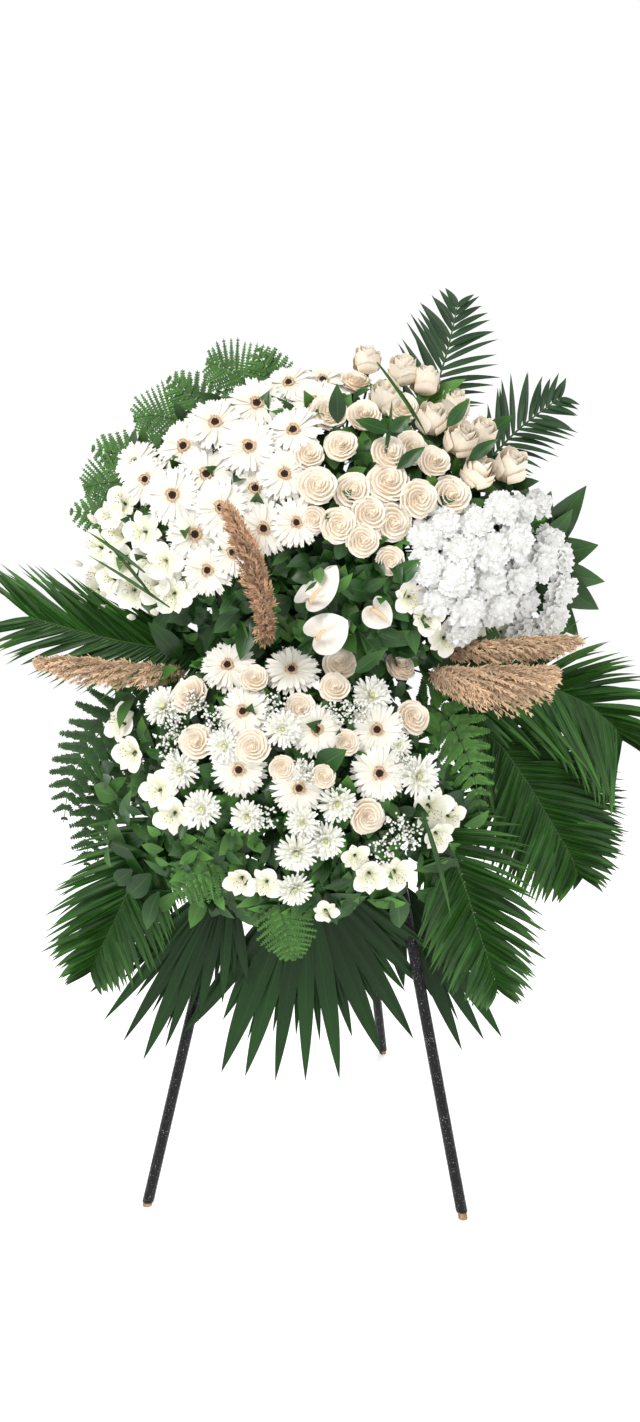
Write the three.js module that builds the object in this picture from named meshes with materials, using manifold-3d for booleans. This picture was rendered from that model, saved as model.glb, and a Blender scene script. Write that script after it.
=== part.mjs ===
// Funeral wreath on a three-legged stand: two domed flower groups on floral foam,
// palm, fan palm and fern foliage behind them, and grass plumes and lilies between them.
// Millimetres, +Z up, the front of the wreath faces -Y.
import * as THREE from "three";
import { mergeVertices } from "three/addons/utils/BufferGeometryUtils.js";
import Module from "manifold-3d";

const wasm = await Module();
wasm.setup();

// ---- driving dimensions -------------------------------------------------

const gap = 0.4;                 // clearance between neighbouring pieces
const apexHeight = 1397;         // where the three legs meet
const legSides = 12;
const poleRadius = 9;
const wrapThickness = 2;         // film wound round each pole
const wrapRadius = poleRadius + gap + wrapThickness;
const legs = {
  left: { foot: [-340, -202], top: [-13, 20], bareTip: 8 },
  right: { foot: [276, -248], top: [15, 20], bareTip: 14 },
  rear: { foot: [160, 501], top: [1, 46], bareTip: 10 },
};

// two racks across the front legs: batten, tray and foam block
const battenSize = { thick: 10, high: 30 };
const trayWall = 2.5;
const trayDepth = 18;
const foamDepth = 95;
const racks = {
  upper: { centre: [5, 1262], foam: [320, 200], batten: [0, 200], hookWidth: 28 },
  lower: { centre: [-60, 830], foam: [260, 200], batten: [-13, 350], hookWidth: 60 },
};

// the flower heads sit on two ellipsoid domes, the greenery beds fill them
const domes = {
  upper: { centre: [5, -110, 1300], axes: [440, 250, 300], bed: [370, 165, 225] },
  lower: { centre: [-60, -190, 835], axes: [335, 200, 300], bed: [265, 120, 215] },
};
const rimLimit = 0.94;           // heads past the dome's rim are kept just in front of it
const faceForward = 0.4;         // how far each head turns from the dome's normal to the front
const stemRadius = 2.6;
const bedStemLength = 95;

// ---- materials ----------------------------------------------------------

const paint = (color, roughness) => new THREE.MeshStandardMaterial({ color, roughness, metalness: 0 });
const looks = {
  wood: paint("#a88658", 0.7),
  film: paint("#101112", 0.25),
  plastic: paint("#1d3a22", 0.5),
  foam: paint("#3f5f3a", 0.95),
  bed: paint("#27461f", 0.8),
  palm: paint("#234c1f", 0.55),
  greyPalm: paint("#3c5742", 0.6),
  fan: paint("#1d4719", 0.5),
  fern: paint("#386a27", 0.65),
  leaf: paint("#1f4a22", 0.35),
  plume: paint("#b08a66", 0.95),
  lily: paint("#ecebe3", 0.3),
  gerbera: paint("#f2efe6", 0.6),
  rose: paint("#ecdcc2", 0.6),
  carnation: paint("#f1f1ee", 0.7),
  alstroemeria: paint("#efeede", 0.6),
  chrysanthemum: paint("#f0f0e2", 0.65),
};

// ---- solids -------------------------------------------------------------

const vec = (x, y, z) => new THREE.Vector3(x, y, z);
const point = ([x, y, z]) => vec(x, y, z);

// a closed geometry through rings of equal count, where a ring of one point is a tip
function loft(rings) {
  const position = rings.flatMap((ring) => ring.flatMap((p) => [p.x, p.y, p.z]));
  const index = [];
  let start = 0;
  for (let i = 0; i + 1 < rings.length; i++) {
    const [low, high] = [rings[i].length, rings[i + 1].length];
    const next = start + low;
    const count = Math.max(low, high);
    for (let k = 0; k < count; k++) {
      const turn = (k + 1) % count;
      const [a, b] = [start + (low > 1 ? k : 0), start + (low > 1 ? turn : 0)];
      const [c, d] = [next + (high > 1 ? k : 0), next + (high > 1 ? turn : 0)];
      if (low > 1) index.push(a, b, c);
      if (high > 1) index.push(b, d, c);
    }
    start = next;
  }
  for (let k = 1; k + 1 < rings[0].length; k++) index.push(0, k + 1, k);
  const last = rings[rings.length - 1].length;
  for (let k = 1; k + 1 < last; k++) index.push(start, start + k, start + k + 1);
  const geometry = new THREE.BufferGeometry();
  geometry.setAttribute("position", new THREE.Float32BufferAttribute(position, 3));
  geometry.setIndex(index);
  return volume(geometry) < 0 ? turned(geometry) : geometry;
}

function volume(geometry) {
  const at = (i) => new THREE.Vector3().fromBufferAttribute(geometry.attributes.position, geometry.index.getX(i));
  let sum = 0;
  for (let i = 0; i < geometry.index.count; i += 3) sum += at(i).dot(at(i + 1).cross(at(i + 2)));
  return sum / 6;
}

function turned(geometry) {
  const order = [...geometry.index.array];
  for (let i = 0; i < order.length; i += 3) [order[i], order[i + 1]] = [order[i + 1], order[i]];
  geometry.setIndex(order);
  return geometry;
}

function solidOf(geometry) {
  const bare = geometry.clone();
  bare.deleteAttribute("normal");
  bare.deleteAttribute("uv");
  const merged = mergeVertices(bare, 1e-4);
  return new wasm.Manifold(new wasm.Mesh({
    numProp: 3,
    vertProperties: new Float32Array(merged.attributes.position.array),
    triVerts: new Uint32Array(merged.index.array),
  }));
}

function geometryOf(solid) {
  const mesh = solid.getMesh();
  const geometry = new THREE.BufferGeometry();
  geometry.setAttribute("position", new THREE.Float32BufferAttribute(mesh.vertProperties, 3));
  geometry.setIndex([...mesh.triVerts]);
  return geometry;
}

const join = (geometries) => geometryOf(geometries.map(solidOf).reduce((sum, next) => sum.add(next)));
const cut = (geometry, tools) =>
  geometryOf(tools.map(solidOf).reduce((left, tool) => left.subtract(tool), solidOf(geometry)));

// two directions square to an axis
function crossAxes(axis) {
  const side = vec(0, 0, 1).cross(axis);
  if (side.length() < 0.1) side.set(1, 0, 0).cross(axis);
  side.normalize();
  return [side, axis.clone().cross(side).normalize()];
}

function ring(centre, side, up, wide, high, corners, notch = 1) {
  return Array.from({ length: corners }, (_, k) => {
    const angle = (2 * Math.PI * k) / corners;
    const reach = k % 2 ? notch : 1;
    return centre.clone()
      .addScaledVector(side, Math.cos(angle) * wide * reach)
      .addScaledVector(up, Math.sin(angle) * high * reach);
  });
}

// a round rod along a route, with one radius at each of its points
function rod(route, radii, corners = 4) {
  const spots = route.map(point);
  let side = null;
  const rings = spots.map((spot, i) => {
    const before = spots[Math.max(i - 1, 0)];
    const after = spots[Math.min(i + 1, spots.length - 1)];
    const along = after.clone().sub(before).normalize();
    if (!side) side = crossAxes(along)[0];
    side = side.clone().addScaledVector(along, -side.dot(along)).normalize();
    const up = along.clone().cross(side);
    const radius = Array.isArray(radii) ? radii[i] : radii;
    return radius === 0 ? [spot] : ring(spot, side, up, radius, radius, corners);
  });
  return loft(rings);
}

const list = (p) => [p.x, p.y, p.z];
const link = (a, b, radius, corners = 3) => rod([list(a), list(b)], radius, corners);

// a pointed leaf with a raised keel, widest part of the way from its root to its tip
function blade(root, tip, width, thick, facing, widest = 0.4) {
  const along = tip.clone().sub(root).normalize();
  const side = along.clone().cross(facing).normalize();
  const up = side.clone().cross(along);
  const middle = root.clone().lerp(tip, widest);
  const section = [[-width / 2, -thick / 2], [width / 2, -thick / 2], [0, thick / 2]];
  return loft([[root], section.map(([x, y]) => middle.clone().addScaledVector(side, x).addScaledVector(up, y)), [tip]]);
}

// ---- stand --------------------------------------------------------------

const wreath = new THREE.Group();
const stand = new THREE.Group();
wreath.add(stand);
const nodes = {};

function place(name, geometry, material, parent = wreath) {
  geometry.computeVertexNormals();
  const mesh = new THREE.Mesh(geometry, material);
  mesh.name = name;
  nodes[name] = mesh;
  parent.add(mesh);
  return mesh;
}

// a point on a leg's axis at a height
function onLeg(leg, z) {
  const share = z / apexHeight;
  return vec(leg.foot[0] + (leg.top[0] - leg.foot[0]) * share,
    leg.foot[1] + (leg.top[1] - leg.foot[1]) * share, z);
}

// a leaning post between two heights whose ends stay level, so that the foot lies flat
const post = (leg, radius, low, high) => loft([low, high].map((z) =>
  ring(onLeg(leg, z), vec(1, 0, 0), vec(0, 1, 0), radius, radius, legSides)));

// local axes of the plane that the two front legs lie in: right, back and up
const leftFoot = vec(...legs.left.foot, 0);
const acrossLegs = vec(...legs.right.foot, 0).sub(leftFoot).normalize();
const planeTop = vec((legs.left.top[0] + legs.right.top[0]) / 2, legs.left.top[1], apexHeight);
const frontOfLegs = acrossLegs.clone().cross(planeTop.clone().sub(leftFoot)).normalize();
const alongLegs = frontOfLegs.clone().cross(acrossLegs).negate().normalize();
if (alongLegs.z < 0) alongLegs.negate();
if (frontOfLegs.y > 0) frontOfLegs.negate();

// a point of the racks' plane, given by its x and z, moved forward by a distance
function onLegPlane(x, z, forward) {
  const spot = vec(x, 0, z);
  spot.y = leftFoot.y - ((x - leftFoot.x) * frontOfLegs.x + z * frontOfLegs.z) / frontOfLegs.y;
  return spot.addScaledVector(frontOfLegs, forward);
}

// a box square to the leg plane: x, height and the forward reach it spans
function rackBox([x, z], width, height, from, to) {
  const corner = (sx, sz, reach) => onLegPlane(x, z, reach)
    .addScaledVector(acrossLegs, (sx * width) / 2)
    .addScaledVector(alongLegs, (sz * height) / 2);
  const face = (reach) => [corner(-1, -1, reach), corner(1, -1, reach), corner(1, 1, reach), corner(-1, 1, reach)];
  return loft([face(from), face(to)]);
}

const battenBack = wrapRadius + gap;
const battenFront = battenBack + battenSize.thick;
const trayBack = battenFront + 2 * gap + wrapThickness;
const foamBack = trayBack + trayWall + gap;
const foamFront = foamBack + foamDepth;

const battenBox = (rack, grow) => rackBox(
  [rack.batten[0], rack.centre[1]], rack.batten[1] + 2 * grow,
  battenSize.high + 2 * grow, battenBack - grow, battenFront + grow,
);

// the film is also wound round each batten where it crosses a front leg
function filmSleeves(leg) {
  return Object.values(racks).map((rack) => {
    const z = rack.centre[1];
    return rackBox([onLeg(leg, z).x, z], wrapRadius, battenSize.high + 2 * (wrapThickness + gap),
      0, battenFront + gap + wrapThickness);
  });
}

for (const [side, leg] of Object.entries(legs)) {
  place(`${side}_leg_pole`, post(leg, poleRadius, 0, apexHeight), looks.wood, stand);
  const tube = post(leg, wrapRadius, leg.bareTip, apexHeight - leg.bareTip);
  const bore = post(leg, poleRadius + gap, -1, apexHeight + 1);
  const front = side !== "rear";
  const film = front ? join([tube, ...filmSleeves(leg)]) : tube;
  const slots = front ? Object.values(racks).map((rack) => battenBox(rack, gap)) : [];
  place(`${side}_leg_wrap`, cut(film, [bore, ...slots]), looks.film, stand);
}

// a band bound round the three legs just under their tops
const binding = { low: 1372, high: 1390, wall: 4, clear: 0.8 };
function bindingSection(z, grow) {
  const tops = Object.values(legs).map((leg) => onLeg(leg, binding.low));
  const centre = tops.reduce((sum, p) => sum.add(p), vec(0, 0, 0)).divideScalar(tops.length);
  centre.z = z;
  const reach = Math.max(...tops.map((p) => Math.hypot(p.x - centre.x, p.y - centre.y)));
  const radius = (reach + wrapRadius) / Math.cos(Math.PI / legSides) + grow;
  return ring(centre, vec(1, 0, 0), vec(0, 1, 0), radius, radius, legSides);
}
const bandOf = (grow, low, high) => loft([bindingSection(low, grow), bindingSection(high, grow)]);
place("apex_binding", cut(
  bandOf(binding.clear + binding.wall, binding.low, binding.high),
  [bandOf(binding.clear, binding.low - 1, binding.high + 1)],
), looks.film, stand);

for (const [level, rack] of Object.entries(racks)) {
  place(`${level}_cross_batten`, battenBox(rack, 0), looks.wood, stand);
  // a shallow tray hooked over the batten between the legs, open to the front
  const [x, z] = rack.centre;
  const [wide, high] = rack.foam;
  const rim = 2 * (gap + trayWall);
  const body = rackBox([x, z], wide + rim, high + rim, trayBack, trayBack + trayWall + trayDepth);
  const well = rackBox([x, z], wide + 2 * gap, high + 2 * gap, trayBack + trayWall, foamFront);
  const hookLow = z + (battenSize.high / 2 + gap) * alongLegs.z;
  const hookX = rack.batten[0];
  const lip = rackBox([hookX, hookLow + (trayWall / 2) * alongLegs.z], rack.hookWidth, trayWall,
    battenBack - gap - trayWall, trayBack + trayWall);
  const tongue = rackBox([hookX, z + trayWall], rack.hookWidth, battenSize.high - trayWall,
    battenBack - gap - trayWall, battenBack - gap);
  place(`${level}_foam_tray`, join([cut(body, [well]), lip, tongue]), looks.plastic, stand);
}

// ---- plants -------------------------------------------------------------

// every stem that ends in a foam block or a greenery bed leaves a hole in it
const holes = { upper: [], lower: [], upperBed: [], lowerBed: [] };
const holeSides = 4;
const leafletThickness = 5;

// points evenly spaced on a smooth curve through a route
const spacedPoints = (route, steps) =>
  new THREE.CatmullRomCurve3(route.map(point), false, "centripetal").getSpacedPoints(steps);

// a stalk that starts in a block's hole, runs along its route and gets thinner
function stalk(block, spots, thick, thin = thick) {
  const root = spots[0].clone().lerp(spots[1], -gap / spots[0].distanceTo(spots[1]));
  holes[block].push(rod([root, spots[1], spots[2]].map(list), thick + gap, holeSides));
  const last = spots.length - 1;
  return rod(spots.map(list), spots.map((_, i) => thick + ((thin - thick) * i) / last), holeSides);
}

// place and direction at a share of the way along a chain of points
function onChain(spots, share) {
  const reach = share * (spots.length - 1);
  const i = Math.min(Math.floor(reach), spots.length - 2);
  return {
    spot: spots[i].clone().lerp(spots[i + 1], reach - i),
    along: spots[i + 1].clone().sub(spots[i]).normalize(),
  };
}

// a feather palm: paired leaflets along a rachis, long in the middle and short at the tip
function palmFrond(name, palm, look = looks.palm) {
  const { block, route, from, pairs, reach, width, lean = 0.55, droop = 0, close = 0.88, steps = 7 } = palm;
  const spots = spacedPoints(route, steps);
  const face = vec(0, -1, 0.1).normalize();
  const parts = [stalk(block, spots, 4, 2.4)];
  for (let i = 0; i < pairs; i++) {
    const share = i / (pairs - 1);
    const { spot, along } = onChain(spots, from + (0.97 - from) * share);
    const side = along.clone().cross(face).normalize();
    const swell = Math.sin(Math.PI * (0.24 + (close - 0.24) * share));
    for (const [hand, length] of [[1, reach[0]], [-1, reach[1]]]) {
      const tip = spot.clone()
        .addScaledVector(side, hand * length * swell * Math.cos(lean))
        .addScaledVector(along, length * swell * Math.sin(lean));
      tip.z -= droop * swell;
      parts.push(blade(spot, tip, width, leafletThickness, face));
    }
  }
  place(name, join(parts), look);
}

// a fan palm: blades that spread from one hub
function fanPalm(name, fan) {
  const spots = spacedPoints([...fan.route, fan.hub], 3);
  const hub = spots[spots.length - 1];
  const before = spots[spots.length - 2];
  const root = hub.clone().lerp(before, 0.25);
  const parts = [stalk(fan.block, spots, 5), ...fan.tips.map((tip) =>
    blade(root, point(tip), fan.width, leafletThickness, vec(0, -1, 0), 0.5))];
  place(name, join(parts), looks.fan);
}

// a fern: a thin stalk with short pinnae, widest low down
function fern(name, leaf) {
  palmFrond(name, { width: 30, lean: 0.25, pairs: 5, from: 0.4, steps: 6, ...leaf }, looks.fern);
}

palmFrond("top_palm_frond", {
  block: "upper", from: 0.42, pairs: 8, reach: [115, 125], width: 16, lean: 0.6,
  route: [[108, -62, 1330], [120, -62, 1370], [160, -60, 1460], [198, -50, 1540],
    [230, -40, 1610], [250, -30, 1680], [263, -20, 1740]],
}, looks.greyPalm);
palmFrond("top_right_palm_frond", {
  block: "upper", from: 0.5, pairs: 7, reach: [105, 120], width: 16, lean: 0.6,
  route: [[130, -75, 1325], [170, -75, 1335], [260, -68, 1395], [325, -60, 1450],
    [375, -50, 1500], [425, -40, 1540], [462, -35, 1565]],
}, looks.greyPalm);
palmFrond("left_palm_frond", {
  block: "upper", from: 0.42, pairs: 10, reach: [150, 145], width: 15, lean: 0.85, close: 0.74,
  route: [[-95, -88, 1190], [-112, -88, 1150], [-150, -100, 1115], [-200, -130, 1095],
    [-280, -170, 1095], [-365, -190, 1110], [-445, -192, 1130], [-535, -186, 1155]],
});
palmFrond("lower_left_palm_frond", {
  block: "lower", from: 0.3, pairs: 11, reach: [165, 120], width: 22, lean: 0.55, droop: 20,
  route: [[-160, -150, 800], [-200, -150, 800], [-280, -170, 775], [-340, -195, 690],
    [-380, -205, 600], [-420, -200, 520], [-440, -195, 475]],
});
palmFrond("upper_right_palm_frond", {
  block: "lower", from: 0.42, pairs: 11, reach: [200, 130], width: 20, lean: 0.65, droop: 20, close: 0.75,
  route: [[40, -150, 885], [80, -150, 897], [150, -150, 950], [240, -160, 1000],
    [335, -180, 1030], [410, -190, 1028], [485, -190, 1000], [545, -180, 955], [570, -170, 920]],
});
palmFrond("middle_right_palm_frond", {
  block: "lower", from: 0.4, pairs: 11, reach: [165, 170], width: 24, lean: 0.5,
  route: [[40, -150, 845], [80, -150, 855], [160, -145, 905], [240, -145, 940],
    [320, -150, 930], [390, -150, 845], [440, -150, 765], [485, -145, 690], [500, -140, 650]],
});
palmFrond("lower_right_palm_frond", {
  block: "lower", from: 0.3, pairs: 11, reach: [140, 150], width: 24, lean: 0.6,
  route: [[40, -180, 770], [80, -182, 775], [165, -190, 795], [235, -205, 735],
    [272, -210, 650], [298, -205, 570], [325, -200, 490], [340, -195, 440]],
});
palmFrond("rear_right_palm_frond", {
  block: "lower", from: 0.42, pairs: 9, reach: [130, 120], width: 30, lean: 0.5,
  route: [[40, -160, 800], [80, -158, 803], [165, -140, 830], [250, -85, 880],
    [350, -62, 865], [450, -60, 780], [515, -60, 690], [535, -60, 650]],
});

fanPalm("centre_fan_palm_leaf", {
  block: "lower", width: 52, hub: [-28, -165, 680], route: [[-38, -165, 765], [-38, -165, 727]],
  tips: [[-270, -172, 330], [-192, -165, 250], [-145, -160, 238], [-88, -156, 229], [-25, -154, 228],
    [40, -154, 233], [122, -156, 280], [186, -158, 318]],
});
fanPalm("left_fan_palm_leaf", {
  block: "lower", width: 44, hub: [-172, -190, 675], route: [[-120, -165, 765], [-130, -170, 722]],
  tips: [[-450, -178, 420], [-424, -180, 365], [-384, -184, 322], [-350, -188, 288],
    [-300, -192, 312], [-240, -196, 370]],
});
fanPalm("right_fan_palm_leaf", {
  block: "lower", width: 40, hub: [140, -94, 640], route: [[28, -168, 765], [35, -165, 722], [85, -125, 675]],
  tips: [[222, -88, 375], [288, -86, 260], [332, -86, 282], [376, -86, 292], [412, -86, 390]],
});

fern("upper_left_fern_frond", {
  block: "lower", pairs: 7, reach: [75, 75], width: 36, steps: 8, from: 0.35,
  route: [[-160, -128, 890], [-198, -128, 902], [-250, -122, 955], [-310, -120, 985],
    [-385, -120, 965], [-445, -120, 900], [-485, -118, 825], [-500, -115, 750]],
});
fern("lower_left_fern_frond", {
  block: "lower", pairs: 7, reach: [70, 70], width: 36, steps: 8, from: 0.35,
  route: [[-160, -128, 845], [-200, -124, 850], [-270, -95, 870], [-340, -82, 865],
    [-400, -80, 830], [-440, -80, 770], [-460, -80, 700], [-465, -80, 650]],
});
fern("rim_fern_top", {
  block: "upper", reach: [75, 75], from: 0.45,
  route: [[-45, -60, 1330], [-45, -58, 1370], [-60, -48, 1480], [-85, -50, 1570], [-118, -60, 1655]],
});
fern("rim_fern_top_left", {
  block: "upper", reach: [75, 75], from: 0.45,
  route: [[-105, -60, 1330], [-110, -58, 1370], [-160, -45, 1470], [-225, -48, 1550], [-290, -58, 1600]],
});
fern("rim_fern_left", {
  block: "upper", reach: [75, 70], pairs: 6, from: 0.45,
  route: [[-125, -62, 1325], [-165, -60, 1335], [-250, -46, 1395], [-340, -42, 1445], [-440, -48, 1470]],
});
fern("rim_fern_lower_left", {
  block: "upper", reach: [70, 75], from: 0.45,
  route: [[-125, -66, 1280], [-165, -66, 1282], [-260, -62, 1305], [-370, -62, 1340], [-482, -66, 1350]],
});
fern("right_leatherleaf", {
  block: "lower", reach: [60, 60], pairs: 6, from: 0.45,
  route: [[40, -172, 845], [80, -174, 852], [140, -172, 930], [200, -185, 990],
    [248, -222, 950], [285, -228, 860], [298, -215, 785]],
});
fern("bottom_leatherleaf", {
  block: "lowerBed", reach: [50, 50], pairs: 5,
  route: [[-72, -280, 690], [-74, -322, 655], [-60, -322, 595], [-48, -295, 535]],
});
fern("left_leatherleaf", {
  block: "lowerBed", reach: [55, 60], pairs: 5,
  route: [[-120, -270, 770], [-150, -318, 755], [-205, -322, 715], [-262, -295, 655]],
});

// broad leaves that spread from the end of one stalk
function leafSpray(name, spray) {
  const spots = spacedPoints(spray.route, 3);
  const root = onChain(spots, 0.94).spot;
  const parts = [stalk(spray.block, spots, 3.4), ...spray.tips.map((tip) =>
    blade(root, point(tip), spray.width, leafletThickness, vec(0, -1, 0)))];
  place(name, join(parts), looks.leaf);
}
leafSpray("right_rim_leaves", {
  block: "upper", width: 62, route: [[130, -90, 1230], [172, -90, 1232], [300, -76, 1240], [400, -76, 1250]],
  tips: [[505, -82, 1395], [530, -80, 1280], [535, -82, 1165], [440, -76, 1385]],
});
leafSpray("valley_leaf_cluster", {
  block: "upperBed", width: 42, route: [[56, -200, 1165], [56, -240, 1158], [56, -275, 1150]],
  tips: [[46, -312, 1238], [-12, -298, 1300], [168, -275, 1112], [112, -284, 1086],
    [-52, -272, 1088]],
});

// grass plumes: a thin stalk and a soft spindle of seed hairs
function plume(name, { block, route, from, girth }) {
  const steps = 9;
  const first = Math.round(from * steps);
  const spots = spacedPoints(route, steps);
  const tuft = spots.slice(first);
  const swell = (i) => Math.sin(Math.PI * (0.12 + (0.88 * i) / (tuft.length - 1)));
  const radii = tuft.map((_, i) => (i === tuft.length - 1 ? 0 : girth * swell(i)));
  place(name, join([stalk(block, spots.slice(0, first + 2), 2.6), rod(tuft.map(list), radii, 6)]), looks.plume);
}
plume("centre_grass_plume", {
  block: "upperBed", from: 0.3, girth: 24,
  route: [[-90, -215, 1160], [-92, -270, 1140], [-92, -350, 1140], [-95, -395, 1190],
    [-110, -412, 1255], [-132, -415, 1310], [-152, -408, 1352]],
});
plume("left_grass_plume", {
  block: "lower", from: 0.45, girth: 24,
  route: [[-160, -140, 868], [-198, -138, 880], [-238, -138, 985], [-255, -190, 1045],
    [-300, -242, 1060], [-370, -262, 1066], [-440, -260, 1075], [-512, -245, 1080]],
});
plume("right_grass_plume", {
  block: "upper", from: 0.5, girth: 42,
  route: [[95, -92, 1190], [102, -95, 1150], [125, -115, 1080], [175, -170, 1055],
    [235, -255, 1050], [300, -300, 1050], [360, -303, 1055], [412, -292, 1068]],
});
plume("rear_right_grass_plume", {
  block: "upper", from: 0.45, girth: 22,
  route: [[138, -92, 1190], [144, -95, 1150], [168, -112, 1095], [212, -170, 1085],
    [262, -225, 1098], [330, -250, 1105], [400, -250, 1112], [468, -240, 1118]],
});

// lilies with one broad bract and a spike in front of it
function lily(name, { root, heart, toward, wide, high }) {
  const middle = point(heart);
  const facing = point(toward).normalize();
  const [side, up] = crossAxes(facing);
  const bract = loft([
    [middle.clone().addScaledVector(facing, -5)],
    ring(middle, side, up, wide, high, 10),
    [middle.clone().addScaledVector(facing, 3)],
  ]);
  const spikeTip = middle.clone().addScaledVector(facing, 34).addScaledVector(up, 16);
  const parts = [bract, rod([heart, list(spikeTip)], [4.5, 3], 5), stalk("upperBed", spacedPoints([root, heart], 2), 2.8)];
  place(name, join(parts), looks.lily);
}
lily("upper_lily", { root: [-4, -240, 1212], heart: [0, -330, 1208], toward: [-0.25, -1, 0.3], wide: 26, high: 34 });
lily("lower_lily", { root: [2, -235, 1152], heart: [5, -352, 1143], toward: [-0.1, -1, 0.35], wide: 38, high: 30 });
lily("right_lily", { root: [88, -240, 1168], heart: [92, -332, 1165], toward: [0.25, -1, 0.15], wide: 28, high: 24 });

// ---- flower heads -------------------------------------------------------

// sections of a head: distance along its axis, radius and notch, all in head radii
const forms = {
  gerbera: { corners: 10, sections: [[0.08, 1, 0.8], [0.03, 0]] },
  discGerbera: { corners: 16, sections: [[0.08, 1, 0.8], [0, 0.22], [0.06, 0]] },
  rose: { corners: 5, sections: [[-0.5, 0.82], [0.4, 0.85], [0.5, 0]] },
  bud: { corners: 5, sections: [[-0.4, 0.8], [0.4, 0.6], [1, 0]] },
  carnation: { corners: 6, sections: [[0.1, 0.98, 0.9], [0.5, 0]] },
  alstroemeria: { corners: 6, sections: [[0.25, 0.96, 0.6], [-0.2, 0]] },
  chrysanthemum: { corners: 10, sections: [[0.15, 0.98, 0.8], [0.3, 0]] },
};

// heads by x, z and radius; names are those of the node that they belong to
const heads = [];
function grow(node, dome, form, material, places) {
  const { centre, axes } = domes[dome];
  for (const [x, z, radius] of places) {
    const across = (x - centre[0]) / axes[0];
    const upward = (z - centre[2]) / axes[2];
    const share = Math.min(across ** 2 + upward ** 2, rimLimit);
    const inward = Math.sqrt(1 - share);
    const facing = vec(across / axes[0], -inward / axes[1], upward / axes[2]).normalize();
    facing.lerp(vec(0, -1, 0.12), faceForward).normalize();
    heads.push({ node, dome, form, material, radius, facing, spot: vec(x, centre[1] - axes[1] * inward, z) });
  }
}

grow("upper_gerbera_bunch", "upper", "gerbera", looks.gerbera, [
  [-10, 1535, 52], [-110, 1530, 56], [-180, 1490, 57], [-240, 1460, 56], [-45, 1480, 54],
  [-120, 1450, 54], [-195, 1410, 56], [-60, 1405, 51], [-250, 1370, 55], [-110, 1385, 51],
  [-305, 1400, 47], [-165, 1350, 54], [-215, 1305, 55], [-95, 1315, 51], [-190, 1245, 48],
  [-330, 1435, 46], [-40, 1325, 45], [-145, 1275, 46], [5, 1585, 50], [-55, 1570, 50],
]);
grow("upper_rose_bunch", "upper", "rose", looks.rose, [
  [65, 1585, 27], [15, 1515, 29], [75, 1505, 27], [145, 1530, 28], [35, 1455, 25],
  [115, 1440, 27], [160, 1455, 27], [-20, 1440, 24], [-5, 1385, 29], [55, 1380, 29],
  [115, 1395, 32], [165, 1365, 29], [225, 1375, 31], [85, 1340, 27], [30, 1320, 27],
  [125, 1325, 30], [-10, 1330, 20], [70, 1295, 25], [120, 1260, 22], [195, 1430, 26],
]);
grow("upper_rose_bunch", "upper", "bud", looks.rose, [
  [115, 1550, 30], [150, 1600, 27], [190, 1575, 26], [245, 1545, 27], [195, 1505, 26],
  [245, 1465, 30], [290, 1490, 27], [275, 1415, 29], [335, 1420, 30], [85, 1625, 24],
]);
grow("carnation_bunch", "upper", "carnation", looks.carnation, [
  [215, 1325, 26], [270, 1325, 28], [315, 1350, 26], [360, 1350, 23], [395, 1360, 23],
  [340, 1295, 30], [420, 1285, 35], [240, 1280, 27], [295, 1275, 30], [185, 1300, 29],
  [180, 1250, 27], [230, 1235, 31], [295, 1225, 32], [355, 1230, 30], [395, 1255, 29],
  [455, 1255, 28], [450, 1200, 32], [430, 1150, 30], [375, 1180, 31], [315, 1180, 32],
  [255, 1180, 30], [205, 1195, 28], [255, 1135, 27], [375, 1130, 28],
]);
grow("upper_alstroemeria_bunch", "upper", "alstroemeria", looks.alstroemeria, [
  [-360, 1370, 27], [-375, 1340, 23], [-405, 1285, 25], [-425, 1235, 26], [-360, 1310, 27],
  [-310, 1310, 26], [-300, 1265, 26], [-350, 1255, 25], [-415, 1205, 22], [-345, 1205, 27],
  [-295, 1215, 26], [-260, 1200, 26], [-230, 1230, 24], [-385, 1225, 24], [-270, 1260, 23],
]);
[[-165, 1080, 52], [-50, 1075, 50], [-135, 1005, 51], [-5, 975, 48],
  [100, 970, 49], [-140, 905, 50], [-35, 875, 48], [104, 896, 52],
].forEach((spot, i) => grow(`lower_gerbera_${i + 1}`, "lower", "discGerbera", looks.gerbera, [spot]));
grow("lower_rose_group", "lower", "rose", looks.rose, [
  [-235, 1030, 32], [-215, 950, 28], [-115, 945, 29], [-35, 1010, 26], [35, 1080, 28],
  [25, 1040, 25], [150, 1075, 28], [165, 985, 29], [-115, 1055, 23], [45, 950, 21],
  [-65, 910, 21], [5, 895, 21], [85, 820, 29],
]);
grow("lower_chrysanthemum_group", "lower", "chrysanthemum", looks.chrysanthemum, [
  [-280, 1005, 33], [90, 1025, 32], [-65, 975, 29], [-245, 900, 30], [-205, 835, 29],
  [170, 885, 33], [30, 845, 29], [-30, 815, 24], [-40, 765, 31],
  [10, 780, 28], [-125, 825, 26], [-45, 695, 28], [140, 940, 19],
]);
grow("lower_alstroemeria_group", "lower", "alstroemeria", looks.alstroemeria, [
  [-375, 970, 28], [-345, 915, 29], [-285, 860, 25], [-260, 810, 26], [-140, 700, 23],
  [-95, 700, 21], [65, 740, 19], [90, 705, 26], [135, 705, 25], [205, 815, 32],
  [215, 765, 23], [10, 640, 16], [245, 790, 22],
]);

// neighbours of different groups give way to each other, those of one group press together
const pressed = 0.8;
for (const head of heads) {
  head.room = head.radius;
  for (const other of heads) {
    if (other === head) continue;
    const distance = head.spot.distanceTo(other.spot);
    const share = head.radius / (head.radius + other.radius);
    const room = other.node === head.node ? pressed * distance : share * distance - gap;
    head.room = Math.min(head.room, room);
  }
}

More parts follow.
